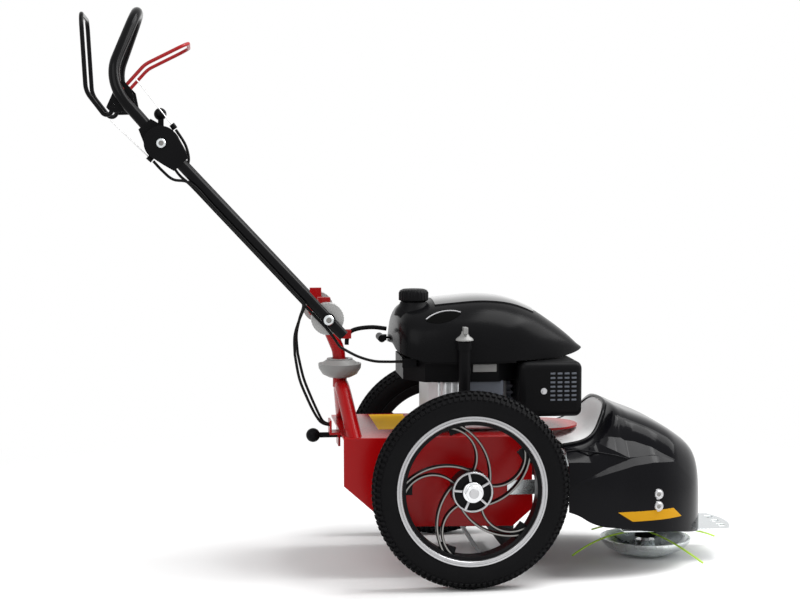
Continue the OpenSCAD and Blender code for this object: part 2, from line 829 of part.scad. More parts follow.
function hood_arch(s, t, drop, a0, a1, count) =
  arch(s[0] + t * sign(400 - s[0]), s[1] - t, s[2] - drop, s[3] - t, hood_n, a0, a1, count);

module hood() {
  color([0.04, 0.04, 0.04]) difference() {
    loft([for (s = hood_st) hood_arch(s, 0, 0, 0, 180, 28)]);
    loft([for (s = hood_st) hood_arch([s[0] - (s[0] < 260 ? 20 : 0), s[1], s[2], s[3]], 4, 6, 0, 180, 28)]);
  }
}

module heat_shield() {
  st = [for (i = [0 : 6]) hood_st[i]];
  out = [for (s = st) [s[0], s[1] + 2.6, s[2], s[3] + 2]];
  in = [for (s = st) [s[0], s[1] + run, s[2], s[3] + run]];
  color([0.6, 0.6, 0.6]) difference() {
    intersection() {
      loft([for (s = out) hood_arch(s, 0, 0, 0, 180, 28)]);
      box(200, 400, -300, 300, 200, 400);
    }
    loft([for (s = concat([in[0] - [10, 0, 0, 0]], in, [in[6] + [10, 0, 0, 0]]))
      hood_arch(s, 0, 0, 0, 180, 28)]);
  }
}

module hood_arms() {
  out_y = arm_y + plate_t;
  color([0.72, 0.74, 0.76]) {
    both() {
      for (z = [128, 150]) {
        ycyl(421, z, 3, out_y - 1, hood_w - 12);
        ycyl(421, z, 7, hood_w - 17, hood_w - 12);
      }
      intersection() {
        plate_xz([[150, 150], [150, 176], [300, 176], [440, 156], [440, 112], [404, 112], [404, 128],
          [300, 150]], 0, hood_w);
        linear_extrude(height = hood_top) polygon([[140, side_y], [200, side_y], [240, arm_y],
          [450, arm_y], [450, out_y], [240, out_y], [200, side_y + plate_t], [140, side_y + plate_t]]);
      }
    }
    // cross plate that carries the spindle housing
    difference() {
      translate([0, 0, 114]) linear_extrude(height = 6) two_sided([[404, arm_y + 1], [440, arm_y + 1],
        [spindle_x + 34, 40]]);
      zcyl(spindle_x, 0, 26, 100, 130);
    }
  }
}

module guard_plate() {
  color([0.7, 0.74, 0.76]) difference() {
    intersection() {
      union() {
        zcyl(spindle_x, 0, guard_r, guard_z - 3, guard_z);
        difference() {
          zcyl(spindle_x, 0, guard_r, guard_z - 11, guard_z - 1);
          zcyl(spindle_x, 0, guard_r - 3, guard_z - 20, guard_z + 1);
        }
      }
      box(spindle_x - 60, spindle_x + 200, -guard_w, guard_w, 0, 100);
    }
    zcyl(spindle_x, 0, 26, guard_z - 20, guard_z + 5);
    for (y = [-40, 0, 40]) box(574, 588, y - 10, y + 10, guard_z - 6, guard_z + 3);
  }
}

module spindle_housing() {
  color([0.6, 0.61, 0.63]) difference() {
    union() {
      zcyl(spindle_x, 0, 26, guard_z - 3, 188);
      zcyl(spindle_x, 0, 48, guard_z, guard_z + 7);
    }
    zcyl(spindle_x, 0, 10 + run, 20, 240);
  }
}

module spindle() {
  color([0.55, 0.56, 0.58]) {
    zcyl(spindle_x, 0, 10, 33, 226);
    zcyl(spindle_x, 0, 8, 6, 34);
    zcyl(spindle_x, 0, 12, 3.4, 7);
  }
}

module spindle_pulley() {
  color([0.5, 0.5, 0.52]) difference() {
    union() {
      grooved(spindle_x, 38, belt_low - 2.7);
      zcyl(spindle_x, 0, 18, 196, belt_low);
    }
    zcyl(spindle_x, 0, 10, 180, 240);
  }
}

module trimmer_head() {
  color([0.06, 0.06, 0.06]) difference() {
    union() {
      zcyl(spindle_x, 0, head_r - 2, 35, 57);
      for (k = [0 : 3]) zcyl(spindle_x, 0, head_r, 35 + 6 * k, 38 + 6 * k);
    }
    zcyl(spindle_x, 0, 10, 20, 70);
    for (a = line_angles) rotate_at(spindle_x, 0, a) xcyl(0, 45.5, line_d / 2 + 0.2, 9, 40);
  }
}

function line_route(a) = [for (q = [[10.4, 45.5], [24, 45.5], [60, 44], [100, 38],
  [140, 27], [head_r + line_reach, 16]])
  let (b = a + max(0, q[0] - 24) * 0.06) [spindle_x + q[0] * cos(b), q[0] * sin(b), q[1]]];

module trimmer_lines() {
  color([0.75, 0.9, 0.1]) for (a = line_angles) cord(route(line_route(a)), line_d / 2);
}

module glide_saucer() {
  color([0.72, 0.74, 0.76]) translate([spindle_x, 0, 0]) rotate_extrude() polygon([[0, 0], [26, 0],
    [52, 5], [saucer_r - 12, 16], [saucer_r - 1, 28], [saucer_r, 34], [saucer_r - 3, 34],
    [saucer_r - 5, 29], [saucer_r - 14, 19], [51, 8], [26, 3], [18, 3], [18, 29], [8 + run, 29],
    [8 + run, 9], [13, 9], [13, 3], [0, 3]]);
}

// cables, from the handle joint down to the chassis and the engine

function under(s, dy) = let (n = [lower_dir[2], 0, -lower_dir[0]], q = lower_at(s))
  [q[0], -lower_y + dy, q[2]] + n * sqrt(pow(tube_r + 3.1, 2) - dy * dy);

module cables_upper() {
  color([0.04, 0.04, 0.04]) {
    cord(route([[-434.8, -130, 802.4], [-419, -124, 777], [-413, -127, 753], [-416, -133, 735],
      under(74, 12.4), under(92, 8), under(160, 5.4), under(359, 5.4)]), 2.5);
    cord(route([[-474.5, -118, 747.7], [-459, -124, 731], [-440, -140, 716],
      under(88, -8), under(160, -8), under(359, -8)]), 2.5);
    cord(route([[-452, -105, 757], [-440, -114, 738], [-428, -130, 722],
      under(90, -1.3), under(160, -1.3), under(359, -1.3)]), 2.5);
    bar([-504.3, -97, 892.3], [-442.4, -129.8, 812.5], 1);
    bar([-548.5, -97, 819], [-484.5, -117.85, 756.5], 1);
  }
}

module cables_middle() {
  color([0.04, 0.04, 0.04]) {
    cord(route([under(360.6, 5.4), under(376, 5.4) - [2, 0, 2], [-221, -138, 470], [-226, -128, 440],
      [-223, -113, 407]]), 2.5);
    cord(route([under(360.6, -8), under(376, -8) - [2, 0, 2], [-221, -153, 470], [-226, -143, 440],
      [-223, -127, 407]]), 2.5);
    cord(route([under(360.6, -1.3), under(400, -1.3), under(436, -1.3), [-151.3, -149.2, 420.7]]), 2.5);
  }
}

module cables_lower() {
  color([0.04, 0.04, 0.04]) {
    cord(route([[-223, -112, 404.4], [-213, -106, 362], [-200, -95, 328], [-185, -74, 294], [-174, -58, 274],
      [-160.5, -53, 268]]), 2.5);
    cord(route([[-223, -126, 404.4], [-213, -120, 362], [-200, -109, 328], [-185, -88, 294], [-174, -72, 274],
      [-160.5, -67, 268]]), 2.5);
    cord(route([[-149.7, -148.9, 419.8], [-120, -143, 403], [-88, -121, 391], [-58, 35 - cover_w, 386.5],
      [-46, 39 - cover_w, 386], [-34.2, 39 - cover_w, 386]]), 2.5);
  }
}

right_tyre();
left_tyre();
right_wheel();
left_wheel();
hub_nuts();
drive_axle();
axle_bearings();
gearbox_housing();
input_pulley();
right_side_plate();
left_side_plate();
top_deck();
handle_fork();
swivel_bowl();
yoke();
clamp_lever();
selector_rod();
tilt_discs_inner();
tilt_discs_outer();
lower_tubes();
handle_bolts();
joint_halves_lower();
joint_halves_upper();
upper_handle();
bail_brackets();
cutter_bail();
drive_bail();
throttle_lever();
crankcase();
engine_cylinder();
engine_shroud();
engine_cover();
fuel_tank();
fuel_cap();
filler_tube();
dipstick();
muffler();
muffler_guard();
crankshaft();
engine_pulley();
starter_grip();
hood();
heat_shield();
hood_arms();
guard_plate();
spindle_housing();
spindle();
spindle_pulley();
trimmer_head();
trimmer_lines();
glide_saucer();
drive_belt();
cutter_belt();
drive_idler();
cutter_idler();
deflector();
rubber_flap();
cables_upper();
cables_middle();
cables_lower();
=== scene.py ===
import json
import math

import bmesh
import bpy
from mathutils import Matrix, Vector


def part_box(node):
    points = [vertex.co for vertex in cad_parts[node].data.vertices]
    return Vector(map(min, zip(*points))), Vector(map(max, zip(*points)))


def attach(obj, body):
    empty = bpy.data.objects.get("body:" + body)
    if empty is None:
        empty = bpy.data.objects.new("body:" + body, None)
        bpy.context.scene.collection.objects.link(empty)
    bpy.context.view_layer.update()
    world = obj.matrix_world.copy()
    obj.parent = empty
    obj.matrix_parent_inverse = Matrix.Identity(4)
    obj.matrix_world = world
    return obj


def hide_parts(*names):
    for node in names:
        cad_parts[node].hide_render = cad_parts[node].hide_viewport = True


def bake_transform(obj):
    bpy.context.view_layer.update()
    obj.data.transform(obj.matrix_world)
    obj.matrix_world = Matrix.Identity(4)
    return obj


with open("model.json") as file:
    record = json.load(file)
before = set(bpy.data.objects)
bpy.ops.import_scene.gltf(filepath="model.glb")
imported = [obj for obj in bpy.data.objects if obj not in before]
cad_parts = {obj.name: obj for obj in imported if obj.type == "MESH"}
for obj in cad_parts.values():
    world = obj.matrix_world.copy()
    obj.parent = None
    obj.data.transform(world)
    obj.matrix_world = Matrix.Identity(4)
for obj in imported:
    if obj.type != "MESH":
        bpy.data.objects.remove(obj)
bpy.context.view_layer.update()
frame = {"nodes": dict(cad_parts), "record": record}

# Studio. The machine stands in profile on a pale floor, seen from its right side with a long lens
# a little above the engine. Broad soft lamps and a white surround give the gloss its reflections.
scene = bpy.context.scene
scene.view_settings.view_transform = "Standard"


def linked(name, data):
    """A new object in the scene."""
    holder = bpy.data.objects.new(name, data)
    scene.collection.objects.link(holder)
    return holder


def as_mesh(name, shape):
    """The mesh of a bmesh, which is freed."""
    mesh = bpy.data.meshes.new(name)
    shape.to_mesh(mesh)
    shape.free()
    return mesh


def aimed(name, data, place, way):
    """A camera or lamp at a place, looking along a direction."""
    holder = linked(name, data)
    holder.location = place
    holder.rotation_mode = "QUATERNION"
    holder.rotation_quaternion = Vector(way).to_track_quat("-Z", "Y")
    return holder


def lamp(name, place, target, size, watts):
    """A square area lamp that points at a target."""
    light = bpy.data.lights.new(name, "AREA")
    light.size = size
    light.energy = watts
    aimed(name, light, place, Vector(target) - Vector(place))


CAMERA_PLACE, CAMERA_WAY = (-0.4004, -3.2887, 0.7608), (0.1126, 0.9903, -0.0815)
camera = aimed("camera", bpy.data.cameras.new("camera"), CAMERA_PLACE, CAMERA_WAY)
camera.data.lens = 80.5
scene.camera = camera
lamp("key", (-1.6, -2.6, 2.6), (0, 0, 0.4), 2.4, 44)
lamp("overhead", (1.3, -0.3, 2.7), (0.3, -0.1, 0.2), 1.8, 76)
lamp("front", (2.6, 0.2, 2.1), (0.3, 0, 0.2), 1.8, 42)

AMBIENT = 0.55
FLOOR_RADIUS = 14
FLOOR_DROP = 0.0006
FADE_FROM, FADE_TO = 0.7, 1.6


def math_node(tree, operation, *inputs):
    """The result of a math node; each input is a socket to link or a fixed number."""
    node = tree.nodes.new("ShaderNodeMath")
    node.operation = operation
    for socket, value in zip(node.inputs, inputs):
        if isinstance(value, bpy.types.NodeSocket):
            tree.links.new(value, socket)
        else:
            socket.default_value = value
    return node.outputs[0]


def white_for_seen_rays(tree):
    """1 for rays from the camera, from gloss and through glass, 0 for the light that falls."""
    path = tree.nodes.new("ShaderNodeLightPath")
    mirrored = math_node(tree, "MAXIMUM", path.outputs["Is Camera Ray"], path.outputs["Is Glossy Ray"])
    return math_node(tree, "MAXIMUM", mirrored, path.outputs["Is Transmission Ray"])


world = bpy.data.worlds.new("surround")
scene.world = world
world.use_nodes = True
tree = world.node_tree
background = tree.nodes["Background"]
background.inputs["Color"].default_value = (1, 1, 1, 1)
strength = math_node(tree, "MULTIPLY_ADD", white_for_seen_rays(tree), 1 - AMBIENT, AMBIENT)
tree.links.new(strength, background.inputs["Strength"])

disc = bmesh.new()
bmesh.ops.create_circle(disc, cap_ends=True, segments=96, radius=FLOOR_RADIUS)
floor = linked("floor", as_mesh("floor", disc))
floor.location.z = -FLOOR_DROP
floor_paint = bpy.data.materials.new("floor_paint")
floor_paint.use_nodes = True
tree = floor_paint.node_tree
nodes, link = tree.nodes, tree.links.new
shader = nodes["Principled BSDF"]
shader.inputs["Base Color"].default_value = (0.9, 0.9, 0.9, 1)
shader.inputs["Roughness"].default_value = 0.9
shader.inputs["Specular IOR Level"].default_value = 0.1
distance = nodes.new("ShaderNodeVectorMath")
distance.operation = "LENGTH"
link(nodes.new("ShaderNodeTexCoord").outputs["Object"], distance.inputs[0])
fade = nodes.new("ShaderNodeMapRange")
fade.inputs["From Min"].default_value = FADE_FROM
fade.inputs["From Max"].default_value = FADE_TO
link(distance.outputs["Value"], fade.inputs["Value"])
glow = nodes.new("ShaderNodeEmission")
mix = nodes.new("ShaderNodeMixShader")
link(math_node(tree, "MULTIPLY", fade.outputs[0], white_for_seen_rays(tree)), mix.inputs["Fac"])
link(shader.outputs[0], mix.inputs[1])
link(glow.outputs[0], mix.inputs[2])
link(mix.outputs[0], nodes["Material Output"].inputs["Surface"])
floor.data.materials.append(floor_paint)

# Cutting lines. Four lengths of stiff yellow-green nylon line, 3.5 mm thick, come out of the head
# through its eyelets, run out past the saucer's rim and droop a little to their cut ends.
MM = 0.001
body_of = {node: body for body, group in frame["record"]["behaviour"]["bodies"].items() for node in group}


def surface_group():
    """Mottling of colour and gloss over a surface, and the fine grain that stands in it."""
    group = bpy.data.node_groups.new("surface", "ShaderNodeTree")
    group.interface.new_socket("Colour", in_out="INPUT", socket_type="NodeSocketColor")
    for name in ["Mottle", "Patch Scale", "Roughness", "Gloss Spread", "Grain Scale", "Grain Depth"]:
        group.interface.new_socket(name, in_out="INPUT", socket_type="NodeSocketFloat")
    for name, kind in [("Colour", "NodeSocketColor"), ("Roughness", "NodeSocketFloat"),
                       ("Normal", "NodeSocketVector")]:
        group.interface.new_socket(name, in_out="OUTPUT", socket_type=kind)
    nodes, link = group.nodes, group.links.new
    given = nodes.new("NodeGroupInput")
    made = nodes.new("NodeGroupOutput")
    place = nodes.new("ShaderNodeTexCoord")
    patches = nodes.new("ShaderNodeTexNoise")
    patches.inputs["Detail"].default_value = 5
    link(place.outputs["Object"], patches.inputs["Vector"])
    link(given.outputs["Patch Scale"], patches.inputs["Scale"])
    centred = math_node(group, "SUBTRACT", patches.outputs["Fac"], 0.5)
    shade = math_node(group, "MULTIPLY_ADD", centred, given.outputs["Mottle"], 1)
    tone = nodes.new("ShaderNodeHueSaturation")
    link(given.outputs["Colour"], tone.inputs["Color"])
    link(shade, tone.inputs["Value"])
    link(tone.outputs["Color"], made.inputs["Colour"])
    gloss = math_node(group, "MULTIPLY_ADD", centred, given.outputs["Gloss Spread"],
                      given.outputs["Roughness"])
    link(gloss, made.inputs["Roughness"])
    grain = nodes.new("ShaderNodeTexNoise")
    grain.inputs["Detail"].default_value = 3
    link(place.outputs["Object"], grain.inputs["Vector"])
    link(given.outputs["Grain Scale"], grain.inputs["Scale"])
    bump = nodes.new("ShaderNodeBump")
    bump.inputs["Distance"].default_value = 0.0004
    link(given.outputs["Grain Depth"], bump.inputs["Strength"])
    link(grain.outputs["Fac"], bump.inputs["Height"])
    link(bump.outputs["Normal"], made.inputs["Normal"])
    return group


surface = surface_group()


def finish(name, colour, rough, mottle=0.2, patch=14, spread=0.12, grain=900, depth=0.12, **plain):
    """A material whose colour, gloss and grain come from the surface group; plain sets fixed sockets."""
    material = bpy.data.materials.new(name)
    material.use_nodes = True
    tree = material.node_tree
    shader = tree.nodes["Principled BSDF"]
    made = tree.nodes.new("ShaderNodeGroup")
    made.node_tree = surface
    values = [(*colour, 1), mottle, patch, rough, spread, grain, depth]
    for socket, value in zip(made.inputs, values):
        socket.default_value = value
    tree.links.new(made.outputs["Colour"], shader.inputs["Base Color"])
    tree.links.new(made.outputs["Roughness"], shader.inputs["Roughness"])
    tree.links.new(made.outputs["Normal"], shader.inputs["Normal"])
    for socket, value in plain.items():
        shader.inputs[socket.replace("_", " ")].default_value = value
    material.diffuse_color = (*colour, 1)
    return material


def smooth_route(points, steps):
    """Points on a smooth curve through the given ones, with steps to each stretch."""
    made = []
    for i in range(len(points) - 1):
        a, b, c, d = (Vector(points[min(max(k, 0), len(points) - 1)]) for k in range(i - 1, i + 3))
        for k in range(steps):
            t = k / steps
            made.append(0.5 * (2 * b + (c - a) * t + (2 * a - 5 * b + 4 * c - d) * t * t
                               + (3 * b - a - 3 * c + d) * t * t * t))
    return made + [Vector(points[-1])]


def line_object(name, points, radius):
    """A round open curve through points in millimetres."""
    curve = bpy.data.curves.new(name, "CURVE")
    curve.dimensions = "3D"
    curve.bevel_depth = radius * MM
    curve.bevel_resolution = 4
    curve.use_fill_caps = True
    spline = curve.splines.new("POLY")
    spline.points.add(len(points) - 1)
    for knot, point in zip(spline.points, points):
        knot.co = (*(Vector(point) * MM), 1)
    spline.use_smooth = True
    return linked(name, curve)


nylon = finish("line_nylon", (0.52, 0.82, 0.05), 0.32, mottle=0.3, patch=60, Transmission_Weight=0.25,
               IOR=1.5)
spindle_low, spindle_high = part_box("spindle_housing")
spindle_x = (spindle_low.x + spindle_high.x) / 2 / MM
LINE_RADIUS = 1.75
LINE_ANGLES = [15, 105, 195, 285]
HEAD_RADIUS = 24
LAG_PER_MM = 0.06
line_droop = [(10.4, 45.5), (HEAD_RADIUS, 45.5), (60, 44), (100, 38), (140, 27), (170, 16)]
for number, angle in enumerate(LINE_ANGLES):
    knots = []
    for reach, height in line_droop:
        turn = math.radians(angle + max(0, reach - HEAD_RADIUS) * LAG_PER_MM)
        knots.append((spindle_x + reach * math.cos(turn), reach * math.sin(turn), height))
    route = smooth_route(knots, 5)
    line = line_object(f"cutting_line_{number + 1}", route, LINE_RADIUS)
    line.data.materials.append(nylon)
    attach(line, "cutter")
    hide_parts("trimmer_lines")

# Tyres. Black rubber tyres, 350 mm over the tread and 47 mm wide, on both wheels. Small square blocks
# stand in staggered rows across the crown, and a low rib marks where the tread meets the sidewall.
SHARP = math.radians(34)


def piece(name, shape, materials, unit=MM, sharp=SHARP):
    """Turns a bmesh into a linked object: size, shading, sharp edges and materials."""
    bmesh.ops.scale(shape, vec=(unit, unit, unit), verts=shape.verts)
    for face in shape.faces:
        face.smooth = True
    for edge in shape.edges:
        edge.smooth = len(edge.link_faces) == 2 and edge.calc_face_angle() < sharp
    holder = linked(name, as_mesh(name, shape))
    for material in materials:
        holder.data.materials.append(material)
    return holder


def show(name, shape, materials, stands_for=None, like=None, body=None, bevel=0.0, rounds=2, unit=MM):
    """A piece that stands for a node or adds detail to one, and moves with its body or a given one."""
    holder = piece(name, shape, materials, unit)
    if bevel:
        soften = holder.modifiers.new("eased_edges", "BEVEL")
        soften.width = bevel * MM
        soften.segments = rounds
        soften.limit_method = "ANGLE"
        soften.angle_limit = SHARP
    node = stands_for or like
    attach(holder, body or body_of[node])
    if stands_for:
        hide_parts(node)
    return holder


def spun(profile, steps, closed=True):
    """A new bmesh: a profile of (radius, height) points turned all the way round the Z axis."""
    shape = bmesh.new()
    ring = [shape.verts.new((radius, 0, height)) for radius, height in profile]
    last = len(ring) if closed else len(ring) - 1
    edges = [shape.edges.new((ring[i], ring[(i + 1) % len(ring)])) for i in range(last)]
    bmesh.ops.spin(shape, geom=ring + edges, cent=(0, 0, 0), axis=(0, 0, 1), angle=2 * math.pi,
                   steps=steps, use_merge=True)
    bmesh.ops.remove_doubles(shape, verts=shape.verts, dist=0.001)
    bmesh.ops.recalc_face_normals(shape, faces=shape.faces)
    return shape


axle_low, axle_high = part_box("drive_axle")
axle_x = (axle_low.x + axle_high.x) / 2 / MM
axle_z = (axle_low.z + axle_high.z) / 2 / MM
tyre_low, tyre_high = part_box("right_tyre")
wheel_radius = (tyre_high.z - tyre_low.z) / 2 / MM
wheel_y = -(tyre_low.y + tyre_high.y) / 2 / MM
outside = {
    "right": Matrix(((1, 0, 0, axle_x), (0, 0, -1, -wheel_y), (0, 1, 0, axle_z), (0, 0, 0, 1))),
    "left": Matrix(((-1, 0, 0, axle_x), (0, 0, 1, wheel_y), (0, 1, 0, axle_z), (0, 0, 0, 1))),
}
BLOCK_HEIGHT = 3.2
BLOCK_FOOT = (2 * BLOCK_HEIGHT, 7, 7.6)
BLOCK_TAPER = (0.82, 0.86)
BLOCKS_ROUND = 100
BLOCK_ROWS = [-54, -28, 0, 28, 54]
SIDEWALL = 23.4
CROWN = 20.3
SIDE_RIB = 0.7
bead = [(133.3, 16.6), (133.2, 14.5), (127, 14.5), (127, -14.5), (133.2, -14.5), (133.3, -16.6)]
section_radius = wheel_radius - CROWN - BLOCK_HEIGHT


def tyre_section():
    """The tyre's cross section without its blocks: crown, side ribs, sidewalls and bead."""
    points = []
    for degrees in range(-124, 125, 8):
        turn = math.radians(degrees)
        rib = SIDE_RIB if 60 <= abs(degrees) <= 72 else 0
        depth = CROWN if abs(degrees) < 90 else SIDEWALL
        points.append((section_radius + (depth + rib) * math.cos(turn),
                       (SIDEWALL + rib - SIDE_RIB) * math.sin(turn)))
    return points + bead


def tread_row(shape, degrees, shift):
    """Adds one ring of tapered tread blocks, at an angle from the crown's middle."""
    turn = math.radians(degrees)
    foot = Vector((section_radius + CROWN * math.cos(turn), 0, SIDEWALL * math.sin(turn)))
    lean = Matrix.Rotation(-turn, 4, "Y")
    start = Matrix.Rotation(shift, 4, "Z") @ Matrix.Translation(foot) @ lean
    lug = bmesh.ops.create_cube(shape, size=1)["verts"]
    bmesh.ops.scale(shape, vec=BLOCK_FOOT, verts=lug)
    for vert in lug:
        if vert.co.x > 0:
            vert.co.y *= BLOCK_TAPER[0]
            vert.co.z *= BLOCK_TAPER[1]
    bmesh.ops.transform(shape, matrix=start, verts=lug)
    faces = list(dict.fromkeys(face for vert in lug for face in vert.link_faces))
    bmesh.ops.spin(shape, geom=faces, cent=(0, 0, 0), axis=(0, 0, 1), use_duplicate=True,
                   angle=2 * math.pi * (BLOCKS_ROUND - 1) / BLOCKS_ROUND, steps=BLOCKS_ROUND - 1)


rubber = finish("tyre_rubber", (0.0045, 0.0045, 0.005), 0.55, mottle=0.5, patch=30, spread=0.2, grain=1400,
                depth=0.2, Specular_IOR_Level=0.05)
for side, placed in outside.items():
    shape = spun(tyre_section(), 120)
    for row, degrees in enumerate(BLOCK_ROWS):
        tread_row(shape, degrees, (row % 2) * math.pi / BLOCKS_ROUND)
    bmesh.ops.transform(shape, matrix=placed, verts=shape.verts)
    bmesh.ops.recalc_face_normals(shape, faces=shape.faces)
    show(f"{side}_tyre_tread", shape, [rubber], f"{side}_tyre")

# Wheels. Moulded black wheels with five pairs of sickle-shaped blades between hub and rim. The rim's
# face, the blades' front edges, the hub's ring and its five ribs are polished bright.
HUB = 36
BLADE = 4.6
BLADE_FRONT = 7
PAIRS = 5
PAIR_ANGLE = 360 / PAIRS
WEB_ANGLE = 96
RIB_ANGLE = 30
WEB_SPAN = 15
RIB_SIZE = (15, 4.2, 6)
RIB_PLACE = (25.5, 0, 18.6)
RIM_FACE_HEIGHT, RIM_FACE_RADIUS, HUB_RING_RADIUS = 14.8, 122.2, 32.4
BRIGHT, SPOKE = 1, 2
wheel_black = finish("wheel_black", (0.005, 0.005, 0.0055), 0.3, mottle=0.4, patch=24, spread=0.15,
                     grain=1200, Specular_IOR_Level=0.06)
wheel_bright = finish("wheel_polish", (0.42, 0.42, 0.43), 0.24, mottle=0.12, patch=50, spread=0.16,
                      grain=2600, depth=0.06, Metallic=1.0)
# Polished grey of the blades' front faces, also used as painted shade inside bolt and screw sockets.
grey_for_spokes_and_socket_shade = finish("spoke_edge_and_socket_shade", (0.23, 0.225, 0.215), 0.3, mottle=0.12, patch=50, spread=0.16, grain=2600,
                    depth=0.06, Metallic=1.0)
rim_profile = [(116, -16), (117, -17.4), (131.8, -18), (133, -17), (133, -15), (126, -15), (126, 15),
               (133, 15), (133, 17), (132.2, 18), (129.3, 18), (128.8, 17), (127.8, 17), (127.3, 18),
               (124, 17.7), (122.6, 16.4), (122, 14.6), (117, 13), (116, 12)]
hub_profile = [(8.1, -22), (34.5, -22), (HUB, -20.5), (HUB, 20.8), (35, 22), (33, 22), (32, 21), (32, 16.5),
               (18.6, 16.5), (18.6, 21.6), (18, 22), (8.1, 22)]
sickles = [((-68, 25), 101, -14, 67), ((-44, 58), 53, -30, 90)]
web_section = [(104, -4), (118, -4), (118, 4), (104, 4)]


def blade(centre, radius, start, end):
    """One sickle blade: a rectangle with a broken front edge, swept round an arc in the wheel's plane."""
    shape = bmesh.new()
    section = [shape.verts.new((radius + BLADE / 2 * a, 0, BLADE_FRONT * b))
               for a, b in [(-1, -1), (1, -1), (1, 0.7), (0.5, 1), (-0.5, 1), (-1, 0.7)]]
    face = shape.faces.new(section)
    bmesh.ops.spin(shape, geom=[face], cent=(0, 0, 0), axis=(0, 0, 1), steps=22,
                   angle=math.radians(end - start))
    place = Matrix.Translation((*centre, 0)) @ Matrix.Rotation(math.radians(start), 4, "Z")
    bmesh.ops.transform(shape, matrix=place, verts=shape.verts)
    bmesh.ops.recalc_face_normals(shape, faces=shape.faces)
    return shape


def web():
    """The flat web that joins two blades at the rim."""
    shape = bmesh.new()
    corner = [shape.verts.new((radius, 0, height)) for radius, height in web_section]
    bmesh.ops.spin(shape, geom=[shape.faces.new(corner)], cent=(0, 0, 0), axis=(0, 0, 1), steps=6,
                   angle=math.radians(WEB_SPAN))
    bmesh.ops.recalc_face_normals(shape, faces=shape.faces)
    return shape


def hub_rib():
    """One of the short ribs between the hub's ring and its boss."""
    shape = bmesh.new()
    bmesh.ops.create_cube(shape, size=1)
    bmesh.ops.scale(shape, vec=RIB_SIZE, verts=shape.verts)
    bmesh.ops.bevel(shape, geom=shape.edges[:], offset=0.6, offset_type="OFFSET", affect="EDGES", segments=2,
                    profile=0.5, material=-1)
    bmesh.ops.translate(shape, verts=shape.verts, vec=RIB_PLACE)
    return shape


def turned(shape, degrees):
    """Turns a shape about the wheel's axis."""
    bmesh.ops.rotate(shape, verts=shape.verts, cent=(0, 0, 0),
                     matrix=Matrix.Rotation(math.radians(degrees), 3, "Z"))
    return shape


def painted(shape, index, test):
    """Gives a material index to the faces that pass a test of face and middle point."""
    for face in shape.faces:
        if test(face, face.calc_center_median()):
            face.material_index = index
    return shape


def joined(parts):
    """One bmesh that holds several others side by side."""
    whole = bmesh.new()
    for part in parts:
        mesh = as_mesh("part", part)
        whole.from_mesh(mesh)
        bpy.data.meshes.remove(mesh)
    return whole


def wheel_shape():
    """The whole casting: rim, hub, and five times a pair of blades, a web and a rib."""
    rim = painted(spun(rim_profile, 120), BRIGHT,
                  lambda face, at: at.z > RIM_FACE_HEIGHT and at.xy.length > RIM_FACE_RADIUS)
    hub = painted(spun(hub_profile, 64), BRIGHT,
                  lambda face, at: face.normal.z > 0.5 and at.xy.length > HUB_RING_RADIUS)
    parts = [rim, hub]
    for pair in range(PAIRS):
        start = PAIR_ANGLE * pair
        for sickle in sickles:
            spoke = painted(blade(*sickle), SPOKE, lambda face, at: face.normal.z > 0.9)
            parts.append(turned(spoke, start))
        parts.append(turned(web(), start + WEB_ANGLE))
        rib = turned(hub_rib(), start + RIB_ANGLE)
        parts.append(painted(rib, BRIGHT, lambda face, at: face.normal.z > 0.3))
    return joined(parts)


for side, placed in outside.items():
    shape = wheel_shape()
    bmesh.ops.transform(shape, matrix=placed, verts=shape.verts)
    show(f"{side}_wheel_casting", shape, [wheel_black, wheel_bright, grey_for_spokes_and_socket_shade], f"{side}_wheel")

# Axle and hub nuts. A 16 mm steel axle runs through both hubs and turns in flanged bearings that are
# pressed into the side plates. A chrome flange nut holds each wheel on.


def eased(node, material, bevel):
    """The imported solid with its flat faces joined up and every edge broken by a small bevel."""
    shape = bmesh.new()
    shape.from_mesh(frame["nodes"][node].data)
    bmesh.ops.remove_doubles(shape, verts=shape.verts, dist=0.000002)
    bmesh.ops.dissolve_limit(shape, angle_limit=math.radians(1.5), verts=shape.verts, edges=shape.edges)
    return show(f"{node}_eased", shape, [material], node, bevel=bevel, unit=1)


chrome = finish("chrome", (0.78, 0.79, 0.8), 0.14, mottle=0.08, patch=40, spread=0.1, grain=2000,
                depth=0.04, Metallic=1.0)
steel = finish("turned_steel", (0.5, 0.5, 0.51), 0.36, patch=60, spread=0.2, grain=1800, depth=0.1,
               Metallic=1.0)
eased("hub_nuts", chrome, 0.8)
for node in ["drive_axle", "axle_bearings"]:
    eased(node, steel, 0.5)

# Gearbox and belts. The alloy gearbox hangs under the deck round the axle, with a pulley on its input.
# Two rubber V-belts come from the engine's double pulley, one to the gearbox and one to the cutter.
cast = finish("cast_alloy", (0.62, 0.63, 0.64), 0.46, mottle=0.22, patch=40, spread=0.16, grain=1100,
              depth=0.4, Metallic=0.85)
belt_rubber = finish("belt_rubber", (0.02, 0.02, 0.021), 0.7, mottle=0.4, patch=60, grain=1500, depth=0.25)
eased("gearbox_housing", cast, 1.2)
for node in ["input_pulley", "engine_pulley", "spindle_pulley", "drive_idler", "cutter_idler"]:
    eased(node, steel, 0.5)
for node in ["drive_belt", "cutter_belt"]:
    eased(node, belt_rubber, 1.2)

